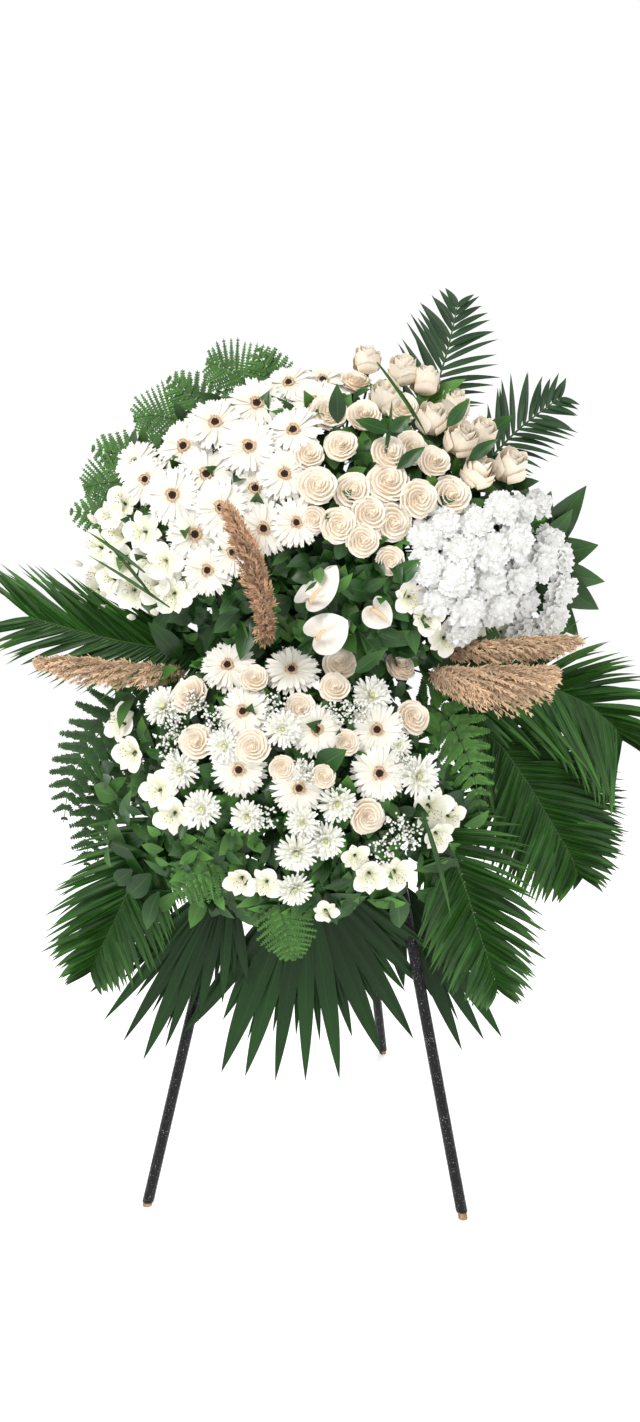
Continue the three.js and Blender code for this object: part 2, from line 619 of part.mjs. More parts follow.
// depth behind the heads at which each group is tied together
const tieDepth = {
  upper_gerbera_bunch: 26, upper_rose_bunch: 34, carnation_bunch: 32, upper_alstroemeria_bunch: 34,
  lower_rose_group: 33, lower_chrysanthemum_group: 44, lower_alstroemeria_group: 50,
};
const plainBack = 20;            // depth of a head that needs no tie
const neckRadius = 4.5;
const tieRadius = 2;
const inwardFrom = (head, depth) => head.spot.clone().addScaledVector(head.facing, -depth);

function headSolid(head) {
  const { corners, sections } = forms[head.form];
  const [side, up] = crossAxes(head.facing);
  const neck = inwardFrom(head, (tieDepth[head.node] ?? plainBack) + neckRadius);
  return loft([ring(neck, side, up, neckRadius, neckRadius, corners), ...sections.map(([along, reach, notch]) => {
    const centre = inwardFrom(head, -along * head.room);
    const radius = reach * head.room;
    return radius === 0 ? [centre] : ring(centre, side, up, radius, radius, corners, notch);
  })]);
}

// a stem from a head into the greenery bed, leaning towards the bed's middle
function bedStem(head) {
  const middle = point(domes[head.dome].centre).sub(head.spot).normalize();
  const inward = middle.multiplyScalar(bedLean).addScaledVector(head.facing, -1).normalize();
  const at = (depth) => list(head.spot.clone().addScaledVector(inward, depth));
  holes[`${head.dome}Bed`].push(rod([at(stemStart), at(bedStemLength + gap)], stemRadius + gap, holeSides));
  return rod([at(stemStart), at(bedStemLength)], stemRadius, holeSides);
}

// the shortest set of ties that joins all heads of a group
function tiesOf(group, depth) {
  const spots = group.map((head) => inwardFrom(head, depth));
  const joined = new Set([0]);
  const ties = [];
  while (joined.size < group.length) {
    let best = null;
    for (const i of joined) {
      for (let j = 0; j < group.length; j++) {
        const length = spots[i].distanceTo(spots[j]);
        if (!joined.has(j) && (!best || length < best.length)) best = { i, j, length };
      }
    }
    joined.add(best.j);
    ties.push(link(spots[best.i], spots[best.j], tieRadius));
  }
  return ties;
}

const stemStart = 12;            // stems start inside the head
const bedLean = 0.5;
const stemEvery = 7;             // one head in so many of a joined group has its own stem
for (const node of new Set(heads.map((head) => head.node))) {
  const group = heads.filter((head) => head.node === node);
  const parts = group.map(headSolid);
  if (tieDepth[node]) parts.push(...tiesOf(group, tieDepth[node]));
  parts.push(...group.filter((_, i) => i % stemEvery === 0).map(bedStem));
  place(node, join(parts), group[0].material);
}

// ---- foam and greenery --------------------------------------------------

for (const [level, rack] of Object.entries(racks)) {
  const block = rackBox(rack.centre, ...rack.foam, foamBack, foamFront);
  place(`${level}_foam_block`, cut(block, holes[level]), looks.foam, stand);
  // the bed of short greenery pinned to the foam's front, a low dome
  const { centre, bed: [wide, deep, high] } = domes[level];
  const at = (reach) => onLegPlane(centre[0], centre[2], foamFront + gap + reach);
  const rings = [0, 0.3, 0.6, 0.85].map((share) => {
    const angle = (share * Math.PI) / 2;
    const spread = Math.cos(angle);
    return ring(at(Math.sin(angle) * deep), acrossLegs, alongLegs, wide * spread, high * spread, 12);
  });
  const bed = loft([...rings, [at(deep)]]);
  place(`${level}_greenery_bed`, cut(bed, holes[`${level}Bed`]), looks.bed);
}

// ---- origin: middle of the footprint, on the floor ----------------------

wreath.updateMatrixWorld(true);
const extent = new THREE.Box3().setFromObject(wreath);
const middle = extent.getCenter(new THREE.Vector3());
wreath.position.set(-middle.x, -middle.y, -extent.min.z);

export default wreath;
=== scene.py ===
# Funeral wreath on a three-legged stand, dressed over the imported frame
import math
import random

import bpy
import numpy as np
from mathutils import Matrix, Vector


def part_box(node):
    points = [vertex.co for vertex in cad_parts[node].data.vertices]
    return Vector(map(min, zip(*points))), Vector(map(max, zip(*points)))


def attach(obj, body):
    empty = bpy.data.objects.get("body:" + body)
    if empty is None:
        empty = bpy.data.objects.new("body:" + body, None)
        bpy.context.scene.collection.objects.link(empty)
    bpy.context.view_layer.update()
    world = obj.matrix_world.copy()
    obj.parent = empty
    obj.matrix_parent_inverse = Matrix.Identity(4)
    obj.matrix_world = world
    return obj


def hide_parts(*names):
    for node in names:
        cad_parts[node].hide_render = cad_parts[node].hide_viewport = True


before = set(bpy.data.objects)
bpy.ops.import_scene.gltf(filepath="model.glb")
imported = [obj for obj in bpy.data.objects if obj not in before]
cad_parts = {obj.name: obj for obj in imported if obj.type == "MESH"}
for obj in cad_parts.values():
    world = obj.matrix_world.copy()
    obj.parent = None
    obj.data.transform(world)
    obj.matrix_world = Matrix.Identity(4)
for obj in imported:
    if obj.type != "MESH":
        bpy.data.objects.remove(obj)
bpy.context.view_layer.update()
random.seed(11)
print("frame loaded")

# lengths below are in millimetres from the middle of the front legs' spread;
# the left foot gives the step from there to the frame's own origin
mm = 0.001
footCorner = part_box("left_leg_pole")[0]
frameShift = np.array([footCorner[0] + 0.349, footCorner[1] + 0.211, 0.0])

up = np.array([0.0, 0.0, 1.0])
front = np.array([0.0, -1.0, 0.0])


def unit(v):
    return v / max(np.linalg.norm(v), 1e-9)


def vec(*v):
    return np.array(v, dtype=float)


# camera, floor and light

camera = {"height": 1300, "distance": 2400, "pitch": 8.23, "lens": 30.38}


def setCamera():
    data = bpy.data.cameras.new("camera")
    data.lens = camera["lens"]
    data.sensor_width = 36
    data.clip_end = 200
    obj = bpy.data.objects.new("camera", data)
    bpy.context.collection.objects.link(obj)
    obj.location = vec(0, -camera["distance"], camera["height"]) * mm + frameShift
    obj.rotation_euler = (math.radians(90 - camera["pitch"]), 0, 0)
    bpy.context.scene.camera = obj


def newMaterial(name, roughness=0.5):
    material = bpy.data.materials.new(name)
    material.use_nodes = True
    shader = material.node_tree.nodes["Principled BSDF"]
    shader.inputs["Roughness"].default_value = roughness
    return material, material.node_tree, shader


def give(tree, socket, value):
    # a socket is linked, anything else becomes the input's own value
    if isinstance(value, bpy.types.NodeSocket):
        tree.links.new(value, socket)
    else:
        socket.default_value = value


def node(tree, kind, **values):
    # a new node with its properties and inputs
    made = tree.nodes.new(kind)
    for key, value in values.items():
        if key in made.bl_rna.properties:
            setattr(made, key, value)
        else:
            give(tree, made.inputs[key], value)
    return made


def colourRamp(tree, share, dark, light, low=0.0, high=1.0):
    ramp = node(tree, "ShaderNodeValToRGB", Fac=share)
    for stop, place, colour in zip(ramp.color_ramp.elements, (low, high), (dark, light)):
        stop.position = place
        stop.color = (*colour, 1)
    return ramp.outputs["Color"]


def addRelief(tree, shader, height, strength, distance):
    bump = node(tree, "ShaderNodeBump", Height=height, Strength=strength, Distance=distance)
    give(tree, shader.inputs["Normal"], bump.outputs["Normal"])


studio = {
    "lamps": {"key": ((-1.6, -2.6, 3.4), 1.6, 80), "fill": ((2.6, -2.4, 1.8), 2.2, 20),
              "rim": ((0.6, 2.4, 3.0), 1.8, 50)},
    "aim": (0, 0, 1), "skyLight": 0.62, "skySeen": 1.05, "floorReach": 60, "floorGlow": 0.42,
}


def setStudio():
    scene = bpy.context.scene
    scene.view_settings.view_transform = "Standard"
    world = bpy.data.worlds.new("studio")
    scene.world = world
    world.use_nodes = True
    tree = world.node_tree
    background = tree.nodes["Background"]
    background.inputs["Color"].default_value = (1, 1, 1, 1)
    seen = node(tree, "ShaderNodeLightPath").outputs["Is Camera Ray"]
    strength = node(tree, "ShaderNodeMix", Factor=seen, A=studio["skyLight"], B=studio["skySeen"])
    give(tree, background.inputs["Strength"], strength.outputs["Result"])
    for name, (place, size, power) in studio["lamps"].items():
        light = bpy.data.lights.new(name, "AREA")
        light.size = size
        light.energy = power
        obj = bpy.data.objects.new(name, light)
        bpy.context.collection.objects.link(obj)
        obj.location = place
        obj.rotation_euler = (Vector(studio["aim"]) - Vector(place)).to_track_quat("-Z", "Y").to_euler()
    mesh = bpy.data.meshes.new("floor")
    reach = studio["floorReach"]
    outline = [(-reach, -reach, 0), (reach, -reach, 0), (reach, reach, 0), (-reach, reach, 0)]
    mesh.from_pydata(outline, [], [(0, 1, 2, 3)])
    floor = bpy.data.objects.new("floor", mesh)
    bpy.context.collection.objects.link(floor)
    material, tree, shader = newMaterial("pale_floor", 0.9)
    grain = node(tree, "ShaderNodeTexNoise", Scale=3.0).outputs["Fac"]
    give(tree, shader.inputs["Base Color"], colourRamp(tree, grain, (0.93, 0.93, 0.93), (0.97, 0.97, 0.97)))
    shader.inputs["Emission Color"].default_value = (1, 1, 1, 1)
    shader.inputs["Emission Strength"].default_value = studio["floorGlow"]
    mesh.materials.append(material)


setCamera()
setStudio()
print("camera, floor and light set")

# shader groups


def makeGroup(name, inputs, outputs):
    group = bpy.data.node_groups.new(name, "ShaderNodeTree")
    for label, value in inputs.items():
        kind = "NodeSocketColor" if isinstance(value, tuple) else "NodeSocketFloat"
        socket = group.interface.new_socket(label, in_out="INPUT", socket_type=kind)
        socket.default_value = value
    for label, kind in outputs.items():
        group.interface.new_socket(label, in_out="OUTPUT", socket_type=kind)
    return group, group.nodes.new("NodeGroupInput").outputs, group.nodes.new("NodeGroupOutput").inputs


def maths(tree, operation, *terms):
    made = node(tree, "ShaderNodeMath", operation=operation)
    for socket, value in zip(made.inputs, terms):
        give(tree, socket, value)
    return made.outputs[0]


def mixColour(tree, share, a, b):
    made = node(tree, "ShaderNodeMix", data_type="RGBA")
    for socket, value in ((made.inputs[0], share), (made.inputs[6], a), (made.inputs[7], b)):
        give(tree, socket, value)
    return made.outputs[2]


def rescale(tree, value, **ends):
    return node(tree, "ShaderNodeMapRange", Value=value, **ends).outputs["Result"]


def makeGrowthGroup():
    # colour from root to tip with a rib, fine lengthwise lines and uneven patches
    group, given, result = makeGroup("growth", {
        "Root Colour": (0.1, 0.3, 0.1, 1), "Tip Colour": (0.1, 0.3, 0.1, 1), "Rib Colour": (0.3, 0.5, 0.2, 1),
        "Rib Width": 0.1, "Rib Strength": 0.5, "Lines": 12.0, "Line Strength": 0.15, "Variety": 0.3,
        "Tip Start": 0.5,
    }, {"Colour": "NodeSocketColor", "Height": "NodeSocketFloat", "Roughness": "NodeSocketFloat"})

    def work(operation, *terms):
        return maths(group, operation, *terms)

    data = node(group, "ShaderNodeAttribute", attribute_name="growth")
    along, across, tint = node(group, "ShaderNodeSeparateColor", Color=data.outputs["Color"]).outputs
    span = rescale(group, along, **{"From Min": given["Tip Start"]})
    colour = mixColour(group, span, given["Root Colour"], given["Tip Colour"])
    aside = work("ABSOLUTE", work("SUBTRACT", across, 0.5))
    rib = rescale(group, aside, **{"From Max": given["Rib Width"], "To Min": 1, "To Max": 0})
    colour = mixColour(group, work("MULTIPLY", rib, given["Rib Strength"]), colour, given["Rib Colour"])
    wave = work("SINE", work("MULTIPLY", work("MULTIPLY", across, given["Lines"]), 6.28))
    lines = work("MULTIPLY", wave, given["Line Strength"])
    place = node(group, "ShaderNodeTexCoord").outputs["Object"]
    patch = node(group, "ShaderNodeTexNoise", Vector=place, Scale=22.0, Detail=3.0).outputs["Fac"]
    uneven = work("ADD", work("SUBTRACT", patch, 0.5), work("SUBTRACT", tint, 0.5))
    level = work("ADD", work("MULTIPLY", uneven, given["Variety"]), work("ADD", lines, 1.0))
    shade = node(group, "ShaderNodeHueSaturation", Color=colour, Value=level)
    give(group, result["Colour"], shade.outputs["Color"])
    give(group, result["Height"], work("ADD", lines, work("MULTIPLY", patch, 0.2)))
    give(group, result["Roughness"], rescale(group, patch, **{"To Min": -0.08, "To Max": 0.12}))
    return group


growthGroup = makeGrowthGroup()
growthInputs = {
    "ribWidth": "Rib Width", "lines": "Lines", "lineStrength": "Line Strength", "variety": "Variety",
    "tipStart": "Tip Start",
}


def growthMaterial(name, root, tip, rib=None, roughness=0.5, sheen=0.0, gloss=0.35, **values):
    material, tree, shader = newMaterial(name, roughness)
    group = node(tree, "ShaderNodeGroup", node_tree=growthGroup)
    for label, colour in (("Root", root), ("Tip", tip), ("Rib", rib or tip)):
        group.inputs[label + " Colour"].default_value = (*colour, 1)
    for key, value in values.items():
        group.inputs[growthInputs[key]].default_value = value
    give(tree, shader.inputs["Base Color"], group.outputs["Colour"])
    give(tree, shader.inputs["Roughness"], maths(tree, "ADD", group.outputs["Roughness"], roughness))
    addRelief(tree, shader, group.outputs["Height"], 0.2, 0.0006)
    shader.inputs["Specular IOR Level"].default_value = gloss
    shader.inputs["Sheen Weight"].default_value = sheen
    return material


def speckledMaterial(name, dark, light, scale, roughness, cut=0.5, bump=0.4):
    # small uneven grains of a second colour, as in fluff, foam, bark and florets
    material, tree, shader = newMaterial(name, roughness)
    place = node(tree, "ShaderNodeTexCoord").outputs["Object"]
    grain = node(tree, "ShaderNodeTexNoise", Vector=place, Scale=scale, Detail=4.0).outputs["Fac"]
    give(tree, shader.inputs["Base Color"], colourRamp(tree, grain, dark, light, cut - 0.12, cut + 0.12))
    addRelief(tree, shader, grain, bump, 0.001)
    return material


finishes = {
    "palm": growthMaterial(
        "palm", (0.018, 0.07, 0.009), (0.042, 0.135, 0.017), (0.11, 0.24, 0.05), 0.4,
        gloss=0.26, lines=5, lineStrength=0.12, variety=0.8, ribWidth=0.07),
    "greyPalm": growthMaterial(
        "grey_palm", (0.018, 0.052, 0.018), (0.035, 0.085, 0.03), (0.08, 0.14, 0.06),
        lines=5, variety=0.6, ribWidth=0.06),
    "fan": growthMaterial(
        "fan_palm", (0.007, 0.032, 0.005), (0.012, 0.055, 0.008), (0.03, 0.1, 0.018), 0.42,
        gloss=0.22, lines=9, lineStrength=0.1, variety=0.5, ribWidth=0.02),
    "fern": growthMaterial(
        "fern", (0.05, 0.15, 0.022), (0.085, 0.23, 0.035), (0.1, 0.22, 0.05), variety=0.7, ribWidth=0.08),
    "darkFern": growthMaterial(
        "dark_fern", (0.018, 0.065, 0.01), (0.035, 0.11, 0.018), (0.06, 0.14, 0.03), 0.45,
        variety=0.7, ribWidth=0.08),
    "leaf": growthMaterial(
        "glossy_leaf", (0.016, 0.062, 0.011), (0.036, 0.115, 0.018), (0.09, 0.18, 0.05), 0.3,
        lines=7, lineStrength=0.06, variety=0.8, ribWidth=0.04),
    "stem": growthMaterial("stem", (0.03, 0.085, 0.015), (0.05, 0.12, 0.022), variety=0.4),
    "gerbera": growthMaterial(
        "gerbera_petal", (0.8, 0.76, 0.62), (0.87, 0.85, 0.79), (0.8, 0.78, 0.7),
        sheen=0.15, lines=3, lineStrength=0.05, variety=0.08, tipStart=0.0),
    "rose": growthMaterial(
        "rose_petal", (0.93, 0.74, 0.53), (0.95, 0.88, 0.76), None, 0.55,
        sheen=0.05, variety=0.14, lines=6, lineStrength=0.015, tipStart=0.15),
    "carnation": growthMaterial(
        "carnation_petal", (0.68, 0.68, 0.62), (0.85, 0.85, 0.84), None, 0.6,
        sheen=0.1, variety=0.1, lines=7, lineStrength=0.03, tipStart=0.2),
    "chrysanthemum": growthMaterial(
        "chrysanthemum_petal", (0.9, 0.9, 0.68), (0.95, 0.95, 0.92),
        sheen=0.1, variety=0.08, tipStart=0.0, lineStrength=0.03),
    "babysBreath": growthMaterial(
        "small_white_floret", (0.85, 0.86, 0.78), (0.95, 0.95, 0.93), None, 0.6, variety=0.1),
    "lily": growthMaterial(
        "lily_bract", (0.74, 0.7, 0.62), (0.84, 0.81, 0.76), (0.66, 0.66, 0.5), 0.22,
        lines=4, lineStrength=0.04, variety=0.08, ribWidth=0.02),
    "spike": speckledMaterial("lily_spike", (0.8, 0.5, 0.28), (0.9, 0.72, 0.5), 900, 0.6),
    "alstroemeria": growthMaterial(
        "alstroemeria_petal", (0.72, 0.74, 0.42), (0.94, 0.92, 0.88), None, 0.45,
        variety=0.1, tipStart=0.1, lines=8, lineStrength=0.03),
    "alstroemeriaMarked": speckledMaterial(
        "alstroemeria_marked", (0.42, 0.26, 0.14), (0.92, 0.89, 0.78), 260, 0.45, 0.34),
    "filament": growthMaterial("filament", (0.75, 0.75, 0.5), (0.85, 0.8, 0.66)),
    "anther": speckledMaterial("anther", (0.28, 0.2, 0.1), (0.5, 0.38, 0.18), 800, 0.8),
    "mumCentre": speckledMaterial("chrysanthemum_centre", (0.55, 0.6, 0.2), (0.85, 0.84, 0.5), 500, 0.7),
    "disc": speckledMaterial("gerbera_disc", (0.012, 0.007, 0.005), (0.05, 0.025, 0.014), 700, 0.7),
    "discRing": speckledMaterial("gerbera_ring", (0.5, 0.3, 0.16), (0.84, 0.62, 0.42), 600, 0.7),
}
for key, name, root, tip in (("plume", "plume", (0.42, 0.26, 0.14), (0.74, 0.54, 0.36)),
                             ("darkPlume", "dark_plume", (0.34, 0.18, 0.09), (0.6, 0.38, 0.23))):
    finishes[key] = growthMaterial(
        name, root, tip, None, 0.9, sheen=0.3, variety=0.7, lineStrength=0.0, tipStart=0.0)
print("materials ready")

# growing meshes: sheets and rods are gathered, then become one piece


class Growth:
    def __init__(self):
        self.points, self.faces, self.data, self.slots, self.total = [], [], [], [], 0

    def add(self, points, faces, data, slot=0):
        self.points.append(points)
        self.faces.append(faces + self.total)
        self.data.append(data)
        self.slots.append(np.full(len(faces), slot))
        self.total += len(points)

    def join(self, other, move, turn, size=1.0):
        # a copy of another growth, turned, scaled and moved
        self.points.extend(points @ turn.T * size + move for points in other.points)
        self.faces.extend(faces + self.total for faces in other.faces)
        self.data.extend(other.data)
        self.slots.extend(other.slots)
        self.total += other.total


def makePiece(name, growth, materials, nodes=()):
    points = np.concatenate(growth.points) * mm + frameShift
    faces = np.concatenate(growth.faces)
    name = name + "_grown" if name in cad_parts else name
    mesh = bpy.data.meshes.new(name)
    mesh.from_pydata(points.tolist(), [], faces.tolist())
    colour = mesh.attributes.new("growth", "FLOAT_COLOR", "POINT")
    data = np.concatenate(growth.data)
    colour.data.foreach_set("color", np.hstack([data, np.ones((len(data), 1))]).astype(np.float32).ravel())
    for material in materials:
        mesh.materials.append(finishes[material])
    mesh.polygons.foreach_set("material_index", np.concatenate(growth.slots).astype(np.int32))
    mesh.shade_smooth()
    mesh.update()
    piece = bpy.data.objects.new(name, mesh)
    bpy.context.collection.objects.link(piece)
    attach(piece, "root")
    for cad in nodes:
        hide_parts(cad)


gridFaces = {}


def gridOf(rows, columns, closed=False):
    key = (rows, columns, closed)
    if key not in gridFaces:
        index = np.arange(rows * columns).reshape(rows, columns)
        if closed:
            index = np.hstack([index, index[:, :1]])
        gridFaces[key] = np.stack(
            [index[:-1, :-1], index[:-1, 1:], index[1:, 1:], index[1:, :-1]], -1).reshape(-1, 4)
    return gridFaces[key]


def axesOf(along, facing):
    along = unit(along)
    side = np.cross(along, facing)
    side = unit(side) if np.linalg.norm(side) > 1e-6 else unit(np.cross(along, vec(1, 0.3, 0)))
    return along, side, np.cross(side, along)


def growthData(along, across, tint=None):
    # what the finishes read at each point: the share along, the share across and a tint
    along, across = np.broadcast_arrays(along, across)
    tints = np.full(along.shape, random.random() if tint is None else tint)
    return np.stack([along, across, tints], -1).reshape(-1, 3)


def setOut(root, axes, *steps):
    # points at three distances from a root, one along each axis
    return sum((step[..., None] * axis for step, axis in zip(steps, axes)), start=root).reshape(-1, 3)


def narrowed(s, widest, root=0.25, tip=0.0):
    # half width along a leaf: from the root's share, full at its widest, down to the tip's share
    rise = root + (1 - root) * np.sin(np.clip(s / widest, 0, 1) * math.pi / 2)
    fall = tip + (1 - tip) * np.cos(np.clip((s - widest) / (1 - widest), 0, 1) * math.pi / 2)
    return np.where(s < widest, rise, fall)


def addLeaf(growth, root, along, facing, length, width, widest=0.4, rootShare=0.2, bend=0.4, fold=0.3,
            rows=7, columns=3, wave=0.0, notch=0.0, tint=None, twist=0.0, slot=0, tipShare=0.02):
    # one leaf or petal: bend curves it back over its length, fold lifts its edges
    s = np.linspace(0, 1, rows)[:, None]
    t = np.linspace(-1, 1, columns)[None, :]
    half = narrowed(s, widest, rootShare, tipShare) * width / 2
    angle = bend * s
    reach = np.where(abs(bend) < 1e-3, s, np.sin(angle) / (bend or 1)) * length
    drop = -(1 - np.cos(angle)) / (bend or 1) * length
    reach = reach + 0 * t
    if notch:
        reach = reach - notch * length * (s > 0.99) * (1 - np.abs(t))
    across = t * half
    lift = drop + fold * np.abs(t) * half + wave * half * np.sin(s * 9 + t * 2)
    if twist:
        turn = twist * s
        across, lift = across * np.cos(turn), lift + across * np.sin(turn)
    points = setOut(root, axesOf(along, facing), reach, across, lift)
    growth.add(points, gridOf(rows, columns), growthData(s, (t + 1) / 2, tint), slot)


def addRod(growth, route, radii, sides=6, tint=None, slot=0):
    route = np.array(route, dtype=float)
    radii = np.full(len(route), radii) if np.isscalar(radii) else np.array(radii, dtype=float)
    along = np.gradient(route, axis=0)
    along /= np.linalg.norm(along, axis=1)[:, None] + 1e-9
    start = np.cross(along[0], up)
    side = unit(start) if np.linalg.norm(start) > 0.05 else vec(1, 0, 0)
    rings = []
    turn = np.linspace(0, 2 * math.pi, sides, endpoint=False)[:, None]
    for spot, ahead, radius in zip(route, along, radii):
        side = unit(side - ahead * side.dot(ahead))
        rings.append(spot + radius * (np.cos(turn) * side + np.sin(turn) * np.cross(ahead, side)))
    data = growthData(np.linspace(0, 1, len(route))[:, None], np.full(sides, 0.25), tint)
    growth.add(np.concatenate(rings), gridOf(len(route), sides, True), data, slot)


def smoothRoute(route, count):
    # evenly spaced points on a smooth curve through a route
    p = np.array(route, dtype=float)
    p = np.vstack([2 * p[0] - p[1], p, 2 * p[-1] - p[-2]])
    fine = []
    for a, b, c, d in zip(p[:-3], p[1:-2], p[2:-1], p[3:]):
        u = np.linspace(0, 1, 12, endpoint=False)[:, None]
        square, cube = 2 * a - 5 * b + 4 * c - d, 3 * b - a - 3 * c + d
        fine.append(0.5 * (2 * b + (c - a) * u + square * u**2 + cube * u**3))
    fine = np.vstack([*fine, p[-2:-1]])
    steps = np.concatenate([[0], np.cumsum(np.linalg.norm(np.diff(fine, axis=0), axis=1))])
    want = np.linspace(0, steps[-1], count)
    return np.stack([np.interp(want, steps, fine[:, i]) for i in range(3)], 1)


def onRoute(points, share):
    reach = share * (len(points) - 1)
    i = min(int(reach), len(points) - 2)
    return points[i] + (points[i + 1] - points[i]) * (reach - i), unit(points[i + 1] - points[i])


def vary(amount):
    return 1 + random.uniform(-amount, amount)


def scatter(amount=1.0):
    return vec(*(random.uniform(-amount, amount) for k in range(3)))


# palm fronds

palms = {
    "top_palm_frond": {
        "finish": "greyPalm", "slot": "grey_palm", "start": 0.36, "pairs": 19, "reach": (128, 128),
        "width": 13, "lean": 0.6, "bend": 0.5,
        "route": [(108, -62, 1330), (120, -62, 1370), (160, -60, 1460), (198, -50, 1540), (230, -40, 1610),
                  (250, -30, 1680), (263, -20, 1740)]},
    "top_right_palm_frond": {
        "finish": "greyPalm", "slot": "grey_palm", "start": 0.45, "pairs": 17, "reach": (118, 128),
        "width": 12, "lean": 0.65, "bend": 0.6,
        "route": [(130, -75, 1325), (170, -75, 1335), (260, -68, 1395), (325, -60, 1450), (375, -50, 1500),
                  (425, -40, 1540), (462, -35, 1565)]},
    "left_palm_frond": {
        "finish": "palm", "slot": "palm", "start": 0.3, "pairs": 46, "reach": (190, 165), "width": 11,
        "lean": 0.85, "close": 0.72, "bend": 0.35,
        "route": [(-95, -88, 1190), (-112, -88, 1150), (-150, -100, 1115), (-200, -130, 1095),
                  (-280, -170, 1095), (-365, -190, 1110), (-445, -192, 1130), (-535, -186, 1155)]},
    "lower_left_palm_frond": {
        "finish": "palm", "slot": "palm", "start": 0.22, "pairs": 54, "reach": (190, 165), "width": 13,
        "lean": 0.55, "droop": 25, "bend": 0.5,
        "route": [(-160, -150, 800), (-200, -150, 800), (-280, -170, 775), (-340, -195, 690),
                  (-380, -205, 600), (-420, -200, 520), (-440, -195, 475)]},
    "upper_right_palm_frond": {
        "finish": "palm", "slot": "palm", "start": 0.38, "pairs": 58, "reach": (235, 175), "width": 12,
        "lean": 0.65, "droop": 25, "close": 0.75, "bend": 0.55,
        "route": [(40, -150, 885), (80, -150, 897), (150, -150, 950), (240, -160, 1000), (335, -180, 1030),
                  (410, -190, 1028), (485, -190, 1000), (545, -180, 955), (570, -170, 920)]},
    "middle_right_palm_frond": {
        "finish": "palm", "slot": "palm", "start": 0.34, "pairs": 56, "reach": (215, 210), "width": 13,
        "lean": 0.5, "bend": 0.5,
        "route": [(40, -150, 845), (80, -150, 855), (160, -145, 905), (240, -145, 940), (320, -150, 930),
                  (390, -150, 845), (440, -150, 765), (485, -145, 690), (500, -140, 650)]},
    "lower_right_palm_frond": {
        "finish": "palm", "slot": "palm", "start": 0.24, "pairs": 52, "reach": (175, 190), "width": 13,
        "lean": 0.6, "bend": 0.6,
        "route": [(40, -180, 770), (80, -182, 775), (165, -190, 795), (235, -205, 735), (272, -210, 650),
                  (298, -205, 570), (325, -200, 490), (340, -195, 440)]},
    "rear_right_palm_frond": {
        "finish": "fan", "slot": "palm", "start": 0.4, "pairs": 40, "reach": (190, 180), "width": 18,
        "lean": 0.5, "bend": 0.4,
        "route": [(40, -160, 800), (80, -158, 803), (165, -140, 830), (250, -85, 880), (350, -62, 865),
                  (450, -60, 780), (515, -60, 690), (535, -60, 650)]},
}


def growPalm(name, palm):
    growth = Growth()
    spots = smoothRoute(palm["route"], 40)
    addRod(growth, spots, np.linspace(4, 1.2, len(spots)), 8, slot=1)
    facing = unit(vec(0, -1, 0.1))
    start, close = palm["start"], palm.get("close", 0.88)
    for i in range(palm["pairs"]):
        share = i / (palm["pairs"] - 1)
        spot, along = onRoute(spots, start + (0.99 - start) * share)
        side = unit(np.cross(along, facing))
        swell = math.sin(math.pi * (0.24 + (close - 0.24) * share))
        for hand, length in ((1, palm["reach"][0]), (-1, palm["reach"][1])):
            reach = length * swell * vary(0.06)
            lean = (palm["lean"] + 0.25 * share) * vary(0.1)
            tip = side * hand * math.cos(lean) + along * math.sin(lean) - up * palm.get("droop", 0) / length
            tip = unit(tip + facing * random.uniform(-0.03, 0.08))
            addLeaf(growth, spot, tip, facing + side * hand * 0.25 + up * 0.5, reach,
                    palm["width"] * vary(0.12), 0.3, 0.45, palm["bend"] * vary(0.4), 0.45, rows=9,
                    twist=random.uniform(-0.3, 0.3))
    makePiece(name, growth, (palm["finish"], "stem"), (name,))


for name, palm in palms.items():
    growPalm(name, palm)
print("palm fronds grown")

# fan palm leaves: pleated blades that share a hub

fans = {
    "centre_fan_palm_leaf": {
        "route": [(-38, -165, 765), (-38, -165, 727), (-28, -165, 680)], "notch": 0.44,
        "tips": [(-270, -172, 330), (-192, -165, 250), (-145, -160, 238), (-88, -156, 229), (-25, -154, 228),
                 (40, -154, 233), (122, -156, 280), (186, -158, 318), (215, -160, 420), (235, -165, 500)]},
    "left_fan_palm_leaf": {
        "route": [(-120, -165, 765), (-130, -170, 722), (-172, -190, 675)], "notch": 0.42,
        "tips": [(-450, -178, 420), (-424, -180, 365), (-384, -184, 322), (-350, -188, 288),
                 (-300, -192, 312), (-240, -196, 370), (-190, -192, 405), (-140, -188, 440)]},
    "right_fan_palm_leaf": {
        "route": [(28, -168, 765), (35, -165, 722), (85, -125, 675), (140, -94, 640)], "notch": 0.42,
        "tips": [(100, -112, 450), (165, -98, 400), (222, -88, 375), (288, -86, 260), (332, -86, 282),
                 (376, -86, 292), (412, -86, 390)]},
}
fanBlade = {"rows": 22, "least": 0.085, "pleat": 5.5, "sway": 5.0, "droop": 14, "overlap": 1.12}


